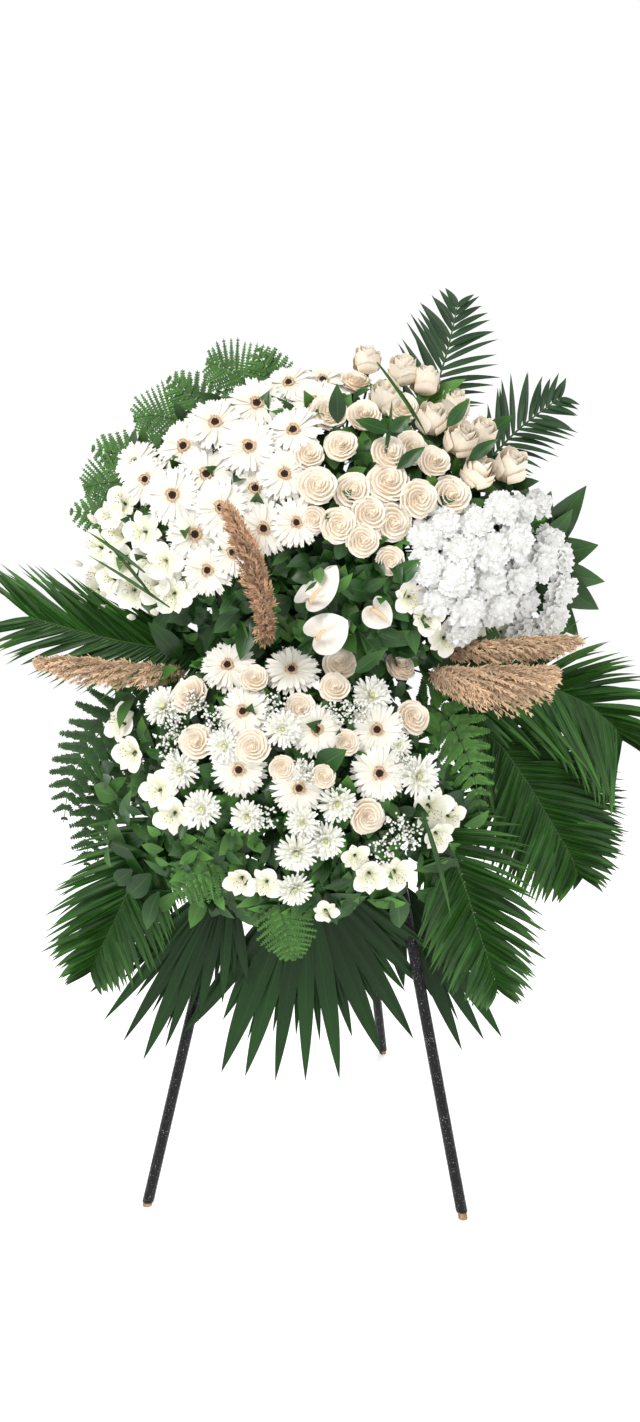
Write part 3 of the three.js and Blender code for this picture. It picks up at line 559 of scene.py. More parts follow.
def addFanBlade(growth, hub, tip, leftSpan, rightSpan, notch):
    # a folded blade: joined to its neighbours out to the notch, then drawn to a point
    along = tip - hub
    length = np.linalg.norm(along)
    s = np.linspace(0.03, 1, fanBlade["rows"])[:, None]
    t = np.array([-1, -0.66, -0.33, 0, 0.33, 0.66, 1])[None, :]
    span = np.where(t < 0, leftSpan, rightSpan)
    free = np.clip((s - notch) / (1 - notch), 0, 1)
    half = span * length * np.where(s < notch, s, notch + 0.16 * free - (notch + 0.16) * free**2)
    sway = fanBlade["sway"] * random.uniform(-1, 1) * s**2
    fold = np.abs(np.abs(t) - 0.5) * 2 - np.abs(t) * 0.8
    lift = fanBlade["pleat"] * fold * np.minimum(1, s * 3) * (1 - 0.7 * free)
    lift = lift - fanBlade["droop"] * s**2 + random.uniform(-2, 2)
    points = setOut(hub, axesOf(along, front), s * length, t * half + sway, lift)
    growth.add(points, gridOf(fanBlade["rows"], 7), growthData(s, (t + 1) / 2))


def growFan(name, fan):
    growth = Growth()
    spots = smoothRoute(fan["route"], 12)
    hub = spots[-1]
    addRod(growth, spots, 4.2, 8, slot=1)
    tips = [vec(*tip) for tip in fan["tips"]]
    ways = [unit(tip - hub) for tip in tips]
    between = [math.acos(min(1, a.dot(b))) / 2 for a, b in zip(ways[:-1], ways[1:])]
    least = fanBlade["least"]
    spans = [least, *[max(gap * fanBlade["overlap"], least) for gap in between], least]
    for i, tip in enumerate(tips):
        addFanBlade(growth, hub, tip, spans[i + 1], spans[i], fan["notch"] * vary(0.1))
    for i, gap in enumerate(between):                        # shorter blades fold in behind
        reach = np.linalg.norm(tips[i] - hub) * vary(0.05) * 0.82
        tip = hub + unit(ways[i] + ways[i + 1]) * reach - front * 6
        addFanBlade(growth, hub - front * 5, tip, gap * 0.9, gap * 0.9, fan["notch"])
    makePiece(name, growth, ("fan", "stem"), (name,))


for name, fan in fans.items():
    growFan(name, fan)
print("fan palm leaves grown")

# ferns: pinnae cut into small lobes

ferns = {
    "upper_left_fern_frond": {"finish": "darkFern", "pairs": 15, "reach": (95, 95), "start": 0.3, "route": [
        (-160, -128, 890), (-198, -128, 902), (-250, -122, 955), (-310, -120, 985), (-385, -120, 965),
        (-445, -120, 900), (-485, -118, 825), (-500, -115, 750)]},
    "lower_left_fern_frond": {"finish": "darkFern", "pairs": 15, "reach": (90, 90), "start": 0.3, "route": [
        (-160, -128, 845), (-200, -124, 850), (-270, -95, 870), (-340, -82, 865), (-400, -80, 830),
        (-440, -80, 770), (-460, -80, 700), (-465, -80, 650)]},
    "rim_fern_top": {"pairs": 17, "reach": (100, 92), "start": 0.3, "route": [
        (-45, -60, 1330), (-45, -58, 1370), (-60, -48, 1480), (-85, -50, 1570), (-118, -60, 1655)],
        "branches": [[(-60, -48, 1480), (-110, -52, 1560), (-165, -56, 1612), (-215, -58, 1630)]]},
    "rim_fern_top_left": {"pairs": 17, "reach": (95, 95), "start": 0.3, "route": [
        (-105, -60, 1330), (-110, -58, 1370), (-160, -45, 1470), (-225, -48, 1550), (-290, -58, 1600)],
        "branches": [[(-160, -45, 1470), (-240, -48, 1510), (-310, -52, 1530), (-355, -56, 1525)]]},
    "rim_fern_left": {"pairs": 17, "reach": (95, 85), "start": 0.3, "route": [
        (-125, -62, 1325), (-165, -60, 1335), (-250, -46, 1395), (-340, -42, 1445), (-440, -48, 1470)],
        "branches": [[(-250, -46, 1395), (-330, -48, 1400), (-400, -52, 1405), (-455, -54, 1395)]]},
    "rim_fern_lower_left": {"pairs": 17, "reach": (85, 90), "start": 0.3, "route": [
        (-125, -66, 1280), (-165, -66, 1282), (-260, -62, 1305), (-370, -62, 1340), (-482, -66, 1350)]},
    "right_leatherleaf": {"pairs": 13, "reach": (75, 75), "start": 0.4, "route": [
        (40, -172, 845), (80, -174, 852), (140, -172, 930), (200, -185, 990), (248, -222, 950),
        (285, -228, 860), (298, -215, 785)]},
    "bottom_leatherleaf": {"pairs": 11, "reach": (62, 62), "start": 0.35, "route": [
        (-72, -280, 690), (-74, -322, 655), (-60, -322, 595), (-48, -295, 535)]},
    "left_leatherleaf": {"pairs": 11, "reach": (70, 72), "start": 0.3, "route": [
        (-120, -270, 770), (-150, -318, 755), (-205, -322, 715), (-262, -295, 655)]},
}


def addFernFrond(growth, fern, route):
    spots = smoothRoute(route, 30)
    addRod(growth, spots, np.linspace(2.4, 0.8, len(spots)), 6, slot=1)
    facing = unit(vec(0, -1, 0.15))
    start = fern["start"]
    apart = np.linalg.norm(np.diff(spots, axis=0), axis=1).sum() * (1 - start) / fern["pairs"]
    for i in range(fern["pairs"]):
        share = i / (fern["pairs"] - 1)
        spot, along = onRoute(spots, start + (0.98 - start) * share)
        side = unit(np.cross(along, facing))
        swell = (1 - share) ** 0.6 * (0.75 + 0.25 * min(1, share * 4)) + 0.08
        for hand, length in ((1, fern["reach"][0]), (-1, fern["reach"][1])):
            reach = length * swell * vary(0.08)
            outward = unit(side * hand + along * (0.45 + 0.3 * share) + facing * random.uniform(-0.1, 0.12))
            lobes = max(4, int(reach / 5.5))
            cross = unit(np.cross(outward, facing))
            for k in range(lobes + 1):
                way = (k + 0.5) / (lobes + 1)
                seat = spot + outward * reach * way - facing * 6 * way * way
                size = (min(reach * 0.25, apart * 0.66) * (1 - 0.75 * way) + 2.5) * vary(0.15)
                for edge in (1, -1):
                    addLeaf(growth, seat, cross * edge + outward * 0.75, facing, size, size * 0.62, 0.5, 0.6,
                            0.3, 0.15, rows=4, tint=0.5 + random.uniform(-0.4, 0.4))
            addLeaf(growth, spot, outward, facing, reach * 1.06, 4.5, 0.4, 0.7, 0.15, 0.3,
                    rows=6, tipShare=0.3)


def growFern(name, fern):
    growth = Growth()
    for route in (fern["route"], *fern.get("branches", ())):
        addFernFrond(growth, fern, route)
    makePiece(name, growth, (fern.get("finish", "fern"), "stem"), (name,))


for name, fern in ferns.items():
    growFern(name, fern)
print("ferns grown")

# flowers: each kind has a few models one unit in radius that face +Z, copied to every head

zAxis = vec(0, 0, 1)


def polar(angle, rise=0.0):
    return vec(math.cos(angle) * math.cos(rise), math.sin(angle) * math.cos(rise), math.sin(rise))


def lathe(growth, profile, sides, slot=0, centre=(0, 0, 0)):
    turn = np.linspace(0, 2 * math.pi, sides, endpoint=False)
    profile = np.array(profile, dtype=float)
    points = np.stack([profile[:, :1] * np.cos(turn), profile[:, :1] * np.sin(turn),
                       profile[:, 1:] + 0 * turn], -1).reshape(-1, 3) + np.array(centre)
    data = growthData(np.linspace(0, 1, len(profile))[:, None], np.full(sides, 0.25), 0.5)
    growth.add(points, gridOf(len(profile), sides, True), data, slot)


gerberaParts = {"petals": (24, 21), "length": (0.86, 0.7), "rise": (-0.02, 0.17), "disc": 0.13, "ring": 0.215}


def gerberaModel():
    growth = Growth()
    for row, (count, length, rise) in enumerate(zip(
            gerberaParts["petals"], gerberaParts["length"], gerberaParts["rise"])):
        for i in range(count):
            angle = (i + 0.5 * row + random.uniform(-0.2, 0.2)) / count * 2 * math.pi
            tilt = rise + random.uniform(-0.07, 0.09)
            addLeaf(growth, polar(angle) * 0.13 + zAxis * (0.04 - row * 0.01), polar(angle, tilt), zAxis,
                    length * vary(0.06), 0.2 * vary(0.15), 0.72, 0.45, random.uniform(0.1, 0.5), 0.16,
                    rows=6, columns=5, tipShare=0.5, notch=0.06, twist=random.uniform(-0.25, 0.25))
    for i in range(46):                                      # the short florets of the ring
        angle = i * 2.4
        reach = gerberaParts["disc"] + (gerberaParts["ring"] - gerberaParts["disc"]) * (i % 7) / 7
        addLeaf(growth, polar(angle) * reach + zAxis * 0.05, polar(angle, 0.75), zAxis, 0.1, 0.035,
                0.5, 0.6, -0.4, 0.3, rows=3, slot=1)
    ring, disc = gerberaParts["ring"], gerberaParts["disc"]
    lathe(growth, [(ring, 0.02), (ring * 0.9, 0.075), (disc, 0.085), (disc * 0.9, 0.06), (0.001, 0.06)],
          20, 1)
    lathe(growth, [(disc * 0.95, 0.06), (disc * 0.8, 0.11), (disc * 0.4, 0.1), (0.001, 0.085)], 14, 2)
    for i in range(22):
        place = polar(i * 2.4) * disc * 0.9 * math.sqrt((i + 0.5) / 22)
        lathe(growth, [(0.022, 0.08), (0.02, 0.125), (0.001, 0.135)], 5, 2, centre=(place[0], place[1], 0))
    return growth


def wrapPetal(growth, turn, span, girth, heights, profile, lip=0.0, point=0.0, wrap=0.06, ruffle=0.0):
    # a petal wrapped round the flower's axis: its girth follows a profile from the base to the rim
    rows, columns = 8, 9
    v = np.linspace(0, 1, rows)[:, None]
    u = np.linspace(-1, 1, columns)[None, :]
    angle = turn + u * span * (0.55 + 0.45 * np.sin(v * 1.7))
    swell = np.interp(v, np.linspace(0, 1, len(profile)), profile)
    wide = girth * swell * (1 + wrap * u) + lip * v**4 * (1 - 0.25 * u**2)
    wide = np.maximum(wide + ruffle * v**2 * np.sin(u * 5 + turn * 3), 0.01)
    top = 1 - 0.3 * np.abs(u) ** 2.4 + point * np.exp(-(u / 0.22) ** 2)
    low, high = heights
    height = low + (high - low) * v * top - np.maximum(lip, 0) * 0.7 * v**8
    points = np.stack([wide * np.cos(angle), wide * np.sin(angle), height], -1).reshape(-1, 3)
    growth.add(points, gridOf(rows, columns), growthData(v, (u + 1) / 2))


gobletProfile = (0.3, 0.78, 1.0, 1.0, 0.92, 0.82)
cupProfile = (0.4, 0.6, 0.78, 0.91, 1.0)


def gobletRoseModel(opening):
    # half open: a smooth egg of broad petals round a small whorl
    growth = Growth()
    start = random.uniform(0, 6)
    for i in range(6):
        wrapPetal(growth, start + i * 2.4, 1.5, 0.14 + 0.05 * i, (-0.4, 0.86 - 0.02 * i), (0.6, 1.0, 1.0),
                  0.02, 0.0, 0.12)
    for i in range(5):
        wrapPetal(growth, start + i * 2.4, 1.3, 0.46 + 0.05 * i, (-0.8, 0.9 - 0.04 * i), gobletProfile,
                  0.04 + 0.06 * opening, 0.03)
    for i in range(5):
        wrapPetal(growth, start + 1 + i * 1.32, 1.0, 0.74 + 0.04 * i, (-0.95, 0.76 - 0.1 * i * opening),
                  gobletProfile, 0.08 + 0.14 * opening, 0.06, 0.05, 0.015)
    for i in range(3):
        wrapPetal(growth, start + i * 2.2, 0.9, 0.92, (-0.95, 0.36 - 0.3 * opening), gobletProfile,
                  0.14 + 0.16 * opening, 0.08, 0.03, 0.02)
    lathe(growth, [(0.001, -1.0), (0.5, -0.8), (0.62, -0.3), (0.4, 0.2), (0.001, 0.45)], 10)
    sepals(growth, 0.95)
    return growth


def gardenRoseModel():
    # fully open: ring on ring of thin petals that lean outwards, folded at the heart
    growth = Growth()
    count = 30
    for i in range(count):
        share = i / (count - 1)
        rim = 0.1 + 0.78 * share
        high = 0.36 - 0.26 * share**2 + random.uniform(-0.04, 0.04)
        wrapPetal(growth, i * 2.4 + random.uniform(-0.3, 0.3), 1.15 - 0.45 * share, rim, (high - 0.45, high),
                  cupProfile, 0.03 + 0.06 * share, 0.0, 0.12, 0.03)
    for i in range(7):
        wrapPetal(growth, i * 0.9 + random.uniform(-0.2, 0.2), 0.62, 0.84, (-0.5, 0.1 - 0.03 * (i % 3)),
                  cupProfile, 0.13 + 0.03 * (i % 2), 0.03, 0.04, 0.02)
    lathe(growth, [(0.8, -0.4), (0.75, -0.2), (0.5, -0.05), (0.2, 0.1), (0.001, 0.2)], 12)
    sepals(growth, 0.66)
    return growth


def sepals(growth, low):
    for i in range(5):
        addLeaf(growth, vec(0, 0, -low), polar(i * 1.257, 0.1), zAxis, 0.75, 0.2, 0.3, 0.6, -0.9, 0.2,
                rows=5, slot=1)
    lathe(growth, [(0.001, -low - 0.12), (0.17, -low - 0.1), (0.24, -low), (0.2, -low + 0.1)], 8, 1)


ruffledEdge = {"rows": 5, "columns": 13, "teeth": 0.08, "wave": 0.09}


def ruffledPetal(growth, angle, rise, length, span):
    # a fan-shaped petal with a toothed, waving edge
    rows, columns = ruffledEdge["rows"], ruffledEdge["columns"]
    v = np.linspace(0.1, 1, rows)[:, None]
    u = np.linspace(-1, 1, columns)[None, :]
    phase = random.random() * 6
    teeth = ruffledEdge["teeth"] * (np.arange(columns) % 2)[None, :] * (v > 0.9)
    edge = 1 - 0.2 * np.abs(u) ** 2.5 - teeth + 0.05 * np.sin(u * 3 + phase)
    turn = angle + u * span * v**0.5
    away = v * length * edge
    lean = rise + 0 * u - 0.35 * v
    lift = ruffledEdge["wave"] * v**2 * np.sin(u * 7 + phase) + 0.05 * v * np.cos(u * 3 + phase)
    points = np.stack([away * np.cos(lean) * np.cos(turn), away * np.cos(lean) * np.sin(turn),
                       away * np.sin(lean) + lift], -1).reshape(-1, 3)
    growth.add(points, gridOf(rows, columns), growthData(v, (u + 1) / 2))


def carnationModel():
    growth = Growth()
    for count, rise, length, span in ((6, 0.05, 1.24, 0.6), (6, 0.3, 1.14, 0.62), (6, 0.6, 0.96, 0.62),
                                      (5, 0.95, 0.74, 0.7), (4, 1.35, 0.55, 0.9)):
        start = random.random() * 6
        for i in range(count):
            ruffledPetal(growth, start + (i + random.uniform(-0.2, 0.2)) / count * 2 * math.pi,
                         rise + random.uniform(-0.12, 0.12), length * vary(0.08), span)
    lathe(growth, [(0.75, 0.0), (0.62, 0.25), (0.3, 0.4), (0.001, 0.42)], 10)
    lathe(growth, [(0.001, -1.0), (0.16, -0.95), (0.2, -0.45), (0.24, -0.05)], 8, 1)
    return growth


def chrysanthemumModel():
    growth = Growth()
    for count, rise, length in ((21, -0.1, 1.0), (19, 0.12, 0.96), (17, 0.38, 0.84), (14, 0.7, 0.68),
                                (10, 1.05, 0.5)):
        for i in range(count):
            angle = (i + random.uniform(-0.3, 0.3)) / count * 2 * math.pi
            addLeaf(growth, polar(angle) * 0.06, polar(angle, rise + random.uniform(-0.1, 0.1)), zAxis,
                    length * vary(0.08), 0.2 * vary(0.15), 0.7, 0.5, -0.2, 0.45, rows=5, tipShare=0.45,
                    twist=random.uniform(-0.3, 0.3))
    lathe(growth, [(0.14, 0.05), (0.12, 0.2), (0.05, 0.24), (0.001, 0.24)], 8, 2)
    lathe(growth, [(0.001, -0.35), (0.2, -0.3), (0.34, -0.05), (0.3, 0.0)], 10, 1)
    return growth


def alstroemeriaModel(opening):
    # three broad outer tepals, three narrow marked inner ones and a spray of stamens
    growth = Growth()
    for i in range(6):
        outer = i % 2 == 0
        angle = i * math.pi / 3 + random.uniform(-0.1, 0.1)
        addLeaf(growth, vec(0, 0, -0.85), polar(angle, 1.15 - 0.3 * opening), polar(angle + math.pi, 0.9),
                1.45 * vary(0.05) * (1 if outer else 0.93), 1.2 if outer else 0.72, 0.74, 0.14,
                0.85 * opening, 0.16, rows=9, columns=7, notch=-0.05, wave=0.05,
                tipShare=0.38 if outer else 0.2, slot=0 if outer else 3)
    for i in range(6):
        angle = i * math.pi / 3 + 0.4
        tip = polar(angle) * 0.24 + vec(0.1, -0.14, 0.3)
        addRod(growth, [(0, 0, -0.6), tip * 0.6 + vec(0, 0, -0.1), tip], 0.016, 4, slot=4)
        lathe(growth, [(0.001, 0.05), (0.035, 0.02), (0.035, -0.03), (0.001, -0.05)], 5, 2, centre=tip)
    lathe(growth, [(0.001, -1.05), (0.09, -1.0), (0.11, -0.85), (0.05, -0.7)], 6, 1)
    return growth


def alstroemeriaBud(growth, place, toward, size):
    along, side, top = axesOf(toward, vec(0.3, -1, 0.2))
    turn = np.stack([side, top, along], 1)
    bud = Growth()
    lathe(bud, [(0.001, -1), (0.28, -0.75), (0.42, -0.2), (0.4, 0.25), (0.22, 0.75), (0.001, 1)], 6, 3)
    growth.join(bud, place, turn, size)


flowerModels = {
    "gerbera": [gerberaModel() for i in range(5)],
    "rose": [gardenRoseModel() for i in range(4)],
    "goblet": [gobletRoseModel(opening) for opening in (0.2, 0.6, 0.35, 0.9)],
    "carnation": [carnationModel() for i in range(5)],
    "alstroemeria": [alstroemeriaModel(opening) for opening in (1.0, 0.7, 1.15)],
    "chrysanthemum": [chrysanthemumModel() for i in range(4)],
}
print("flower models ready")

# the two domes and every head on them

domes = {
    "upper": {"centre": vec(5, -110, 1300), "axes": vec(440, 250, 300), "foam": vec(5, 0, 1262)},
    "lower": {"centre": vec(-60, -190, 835), "axes": vec(335, 200, 300), "foam": vec(-60, -60, 830)},
}
headRules = {
    "rimLimit": 0.94, "faceForward": 0.4, "wobble": 0.16, "stem": 2.4, "layer": 7, "gerberaLayer": 9,
}


def onDome(dome, x, z, scale=1.0):
    centre, axes = domes[dome]["centre"], domes[dome]["axes"] * scale
    across, upward = (x - centre[0]) / axes[0], (z - centre[2]) / axes[2]
    inward = math.sqrt(1 - min(across**2 + upward**2, headRules["rimLimit"]))
    facing = unit(vec(across / axes[0], -inward / axes[1], upward / axes[2]))
    toFront = headRules["faceForward"]
    facing = unit(facing * (1 - toFront) + vec(0, -1, 0.12) * toFront)
    return vec(x, centre[1] - axes[1] * inward, z), facing


def turnTo(facing):
    along, side, top = axesOf(facing, up + vec(0.01, 0.02, 0))
    roll = random.uniform(0, 2 * math.pi)
    across = side * math.cos(roll) + top * math.sin(roll)
    return np.stack([across, np.cross(along, across), along], 1)


def addStem(growth, spot, facing, dome, slot):
    # from the back of a head, bending inwards to the foam
    foam = domes[dome]["foam"]
    inward = vec(foam[0] + (spot[0] - foam[0]) * 0.35, foam[1] - 105, foam[2] + (spot[2] - foam[2]) * 0.35)
    middle = inward * 0.6 + spot * 0.4 + vec(0, 25, 0)
    route = smoothRoute([spot - facing * 12, spot - facing * 60, middle, inward], 8)
    addRod(growth, route, headRules["stem"], 5, slot=slot)


def growHeads(growth, dome, kind, lean, places):
    models, gerbera = flowerModels[kind], kind == "gerbera"
    layer = headRules["gerberaLayer" if gerbera else "layer"]
    for i, (x, z, radius) in enumerate(places):
        spot, facing = onDome(dome, x, z)
        facing = unit(facing + up * lean + scatter() * headRules["wobble"])
        spot = spot + facing * layer * (i % 3 - 1)
        growth.join(models[i % len(models)], spot, turnTo(facing), radius)
        addStem(growth, spot, facing, dome, 3 if gerbera else 1)


flowerMaterials = {
    "gerbera": ("gerbera", "discRing", "disc", "stem"),
    "rose": ("rose", "stem"),
    "carnation": ("carnation", "stem"),
    "alstroemeria": ("alstroemeria", "stem", "anther", "alstroemeriaMarked", "filament"),
    "chrysanthemum": ("chrysanthemum", "stem", "mumCentre"),
}


def growBunch(name, dome, groups, material, extra=None, nodes=None):
    growth = Growth()
    for kind, lean, places in groups:
        growHeads(growth, dome, kind, lean, places)
    if extra:
        extra(growth)
    nodes = (name,) if nodes is None else nodes
    makePiece(name, growth, flowerMaterials[material], nodes)


def addBuds(growth):
    # unopened alstroemeria buds stand up among the open ones
    for x, z, size in ((-395, 1330, 15), (-385, 1180, 15), (-330, 1165, 14), (-285, 1175, 15),
                       (-430, 1255, 14)):
        spot, facing = onDome("upper", x, z)
        alstroemeriaBud(growth, spot + facing * 22, facing + up * 0.4, size)


growBunch("upper_gerbera_bunch", "upper", [("gerbera", 0.0, [
    (-10, 1535, 52), (-110, 1530, 56), (-180, 1490, 57), (-240, 1460, 56), (-45, 1480, 54),
    (-120, 1450, 54), (-195, 1410, 56), (-60, 1405, 51), (-250, 1370, 55), (-110, 1385, 51),
    (-305, 1400, 47), (-165, 1350, 54), (-215, 1305, 55), (-95, 1315, 51), (-190, 1245, 48),
    (-330, 1435, 46), (-40, 1325, 45), (-145, 1275, 46), (5, 1585, 50), (-55, 1570, 50)])],
    "gerbera")
growBunch("upper_rose_bunch", "upper", [
    ("rose", 0.0, [
        (65, 1585, 32), (15, 1515, 34), (75, 1505, 32), (145, 1530, 32), (35, 1455, 30),
        (115, 1440, 32), (160, 1455, 32), (-20, 1440, 28), (-5, 1385, 34), (55, 1380, 34),
        (115, 1395, 38), (165, 1365, 34), (225, 1375, 36), (85, 1340, 33), (30, 1320, 32),
        (125, 1325, 35), (-10, 1330, 24), (70, 1295, 30), (120, 1260, 26), (195, 1430, 30)]),
    ("goblet", 0.75, [
        (115, 1550, 33), (150, 1600, 30), (190, 1575, 29), (245, 1545, 30), (195, 1505, 30),
        (245, 1465, 33), (290, 1490, 30), (275, 1415, 32), (335, 1420, 33), (85, 1625, 27)])],
    "rose")
growBunch("carnation_bunch", "upper", [("carnation", 0.0, [
    (215, 1325, 29), (270, 1325, 31), (315, 1350, 29), (360, 1350, 27), (395, 1360, 26),
    (340, 1295, 34), (420, 1285, 37), (240, 1280, 31), (295, 1275, 34), (185, 1300, 31),
    (180, 1250, 31), (230, 1235, 34), (295, 1225, 36), (355, 1230, 34), (395, 1255, 33),
    (455, 1255, 31), (450, 1200, 34), (430, 1150, 33), (375, 1180, 35), (315, 1180, 36),
    (255, 1180, 34), (205, 1195, 31), (255, 1135, 31), (375, 1130, 31)])],
    "carnation")
growBunch("upper_alstroemeria_bunch", "upper", [("alstroemeria", 0.1, [
    (-360, 1370, 30), (-375, 1340, 27), (-405, 1285, 29), (-425, 1235, 29), (-360, 1310, 31),
    (-310, 1310, 30), (-300, 1265, 30), (-350, 1255, 30), (-415, 1205, 26), (-345, 1205, 31),
    (-295, 1215, 30), (-260, 1200, 29), (-230, 1230, 27), (-385, 1225, 27), (-270, 1260, 27)])],
    "alstroemeria", addBuds)
growBunch("alstroemeria_under_carnations", "upper", [("alstroemeria", 0.0, [
    (160, 1195, 25), (190, 1160, 27), (225, 1120, 27), (310, 1140, 27), (415, 1130, 27), (340, 1120, 25)])],
    "alstroemeria", nodes=())
for i, place in enumerate(((-165, 1080, 53), (-50, 1075, 52), (-135, 1005, 53), (-5, 975, 52),
                           (100, 970, 52), (-140, 905, 52), (-35, 875, 52), (104, 896, 55))):
    growBunch(f"lower_gerbera_{i + 1}", "lower", [("gerbera", 0.05, [place])], "gerbera")
growBunch("lower_rose_group", "lower", [("rose", 0.05, [
    (-235, 1030, 36), (-215, 950, 32), (-115, 945, 32), (-35, 1010, 28), (35, 1080, 31),
    (25, 1040, 28), (150, 1075, 31), (165, 985, 33), (-115, 1055, 26), (45, 950, 24),
    (-65, 910, 23), (5, 895, 22), (85, 820, 33)])],
    "rose")
growBunch("lower_chrysanthemum_group", "lower", [("chrysanthemum", 0.0, [
    (-280, 1005, 35), (90, 1025, 35), (-65, 975, 32), (-245, 900, 33), (-205, 835, 32),
    (170, 885, 37), (30, 845, 33), (-30, 815, 28), (-40, 765, 35), (10, 780, 32),
    (-125, 825, 29), (-45, 695, 31), (140, 940, 22), (-165, 945, 30)])],
    "chrysanthemum")
growBunch("lower_alstroemeria_group", "lower", [("alstroemeria", -0.1, [
    (-375, 970, 30), (-345, 915, 31), (-285, 860, 29), (-260, 810, 30), (-140, 700, 27),
    (-95, 700, 25), (65, 740, 22), (90, 705, 29), (135, 705, 29), (205, 815, 34),
    (215, 765, 27), (10, 640, 19), (245, 790, 26)])],
    "alstroemeria")
print("flower heads placed")

# lilies: a heart-shaped glossy bract with a spike standing in its notch

lilies = {
    "upper_lily": {"base": (-26, -348, 1178), "tip": (30, -322, 1250), "toward": (-0.35, -1, 0.35),
                   "width": 62, "spikeTip": (3, -378, 1217)},
    "lower_lily": {"base": (-16, -358, 1122), "tip": (48, -350, 1158), "toward": (0.05, -1, 0.45),
                   "width": 76, "spikeTip": (10, -392, 1148)},
    "right_lily": {"base": (82, -330, 1185), "tip": (120, -330, 1148), "toward": (0.25, -1, 0.2),
                   "width": 58, "spikeTip": (116, -362, 1160)},
}
heartAngles = (0, 20, 45, 75, 105, 135, 155, 170, 180)
heartReach = (1.0, 0.86, 0.72, 0.63, 0.6, 0.6, 0.52, 0.34, 0.2)
spike = {
    "shares": (0, 0.06, 0.7, 0.95, 1), "radii": (2.8, 4.2, 3.4, 2.2, 0.4),
    "knobs": 260, "knobShares": (0, 0.7, 0.95, 1), "knobRadii": (4.1, 3.4, 2.2, 1.2),
}


def growLily(name, lily):
    growth = Growth()
    base, tip = vec(*lily["base"]), vec(*lily["tip"])
    axes = axesOf(tip - base, unit(vec(*lily["toward"])))
    ahead, top = axes[0], axes[2]
    length = np.linalg.norm(tip - base)
    turn = np.linspace(-math.pi, math.pi, 36, endpoint=False)
    reach = np.interp(np.degrees(np.abs(turn)), heartAngles, heartReach)
    share = np.linspace(0, 1, 9)[:, None] ** 0.8
    reached = 0.3 * length + share * reach * np.cos(turn) * length * 0.7
    across = share * reach * np.sin(turn) * lily["width"] * 0.8
    veins = 0.9 * np.abs(np.sin(turn * 3.5)) * np.sin(share * math.pi)
    lift = 13 * share**2 * (0.6 + 0.4 * np.cos(2 * turn)) - 7 * share**4 * np.cos(turn) + veins * 1.6
    points = setOut(base, axes, reached, across, lift)
    growth.add(points, gridOf(9, 36, True), growthData(share, across / lily["width"] + 0.5, 0.5))
    root = base + ahead * length * 0.12 + top * 1.5
    route = smoothRoute([root, (root + vec(*lily["spikeTip"])) / 2 + top * 4, lily["spikeTip"]], 12)
    addRod(growth, route, np.interp(np.linspace(0, 1, 12), spike["shares"], spike["radii"]), 12, slot=1)
    for i in range(spike["knobs"]):
        share = i / spike["knobs"]
        spot, along = onRoute(route, 0.04 + 0.92 * i / spike["knobs"])
        aside, above = axesOf(along, vec(0.3, -1, 0.2))[1:]
        out = unit(aside * math.cos(i * 2.4) + above * math.sin(i * 2.4))
        thick = np.interp(share, spike["knobShares"], spike["knobRadii"])
        addLeaf(growth, spot + out * (thick - 0.4), out, along, 0.9, 1.0, 0.5, 0.9, 0, 0.2, rows=2, slot=1)
    stem = smoothRoute([base + ahead * length * 0.1 - top * 1, base - top * 25 + vec(0, 12, -10),
                        (60, -190, 1160), (40, -110, 1200)], 10)
    addRod(growth, stem, 2.6, 6, slot=2)
    makePiece(name, growth, ("lily", "spike", "stem"), (name,))


for name, lily in lilies.items():
    growLily(name, lily)
print("lilies grown")

# grass plumes: drooping tufts of fine seed hairs on a thin stalk

plumes = {
    "centre_grass_plume": {"from": 0.3, "girth": 25, "finish": "darkPlume", "tufts": 150, "route": [
        (-90, -215, 1160), (-92, -270, 1140), (-92, -350, 1140), (-95, -395, 1190),
        (-110, -412, 1255), (-132, -415, 1310), (-152, -408, 1352)]},
    "left_grass_plume": {"from": 0.45, "girth": 26, "finish": "plume", "tufts": 150, "route": [
        (-160, -140, 868), (-198, -138, 880), (-238, -138, 985), (-255, -190, 1045),
        (-300, -242, 1060), (-370, -262, 1066), (-440, -260, 1075), (-512, -245, 1080)]},
    "right_grass_plume": {"from": 0.5, "girth": 42, "finish": "plume", "tufts": 230, "route": [
        (95, -92, 1190), (102, -95, 1150), (125, -115, 1080), (175, -170, 1055),
        (235, -255, 1050), (300, -300, 1050), (360, -303, 1055), (412, -292, 1068)]},
    "rear_right_grass_plume": {"from": 0.45, "girth": 24, "finish": "plume", "tufts": 140, "route": [
        (138, -92, 1190), (144, -95, 1150), (168, -112, 1095), (212, -170, 1085),
        (262, -225, 1098), (330, -250, 1105), (400, -250, 1112), (468, -240, 1118)]},
}


tuft = {"blades": 9, "twigs": 3, "length": 11, "width": 1.9}


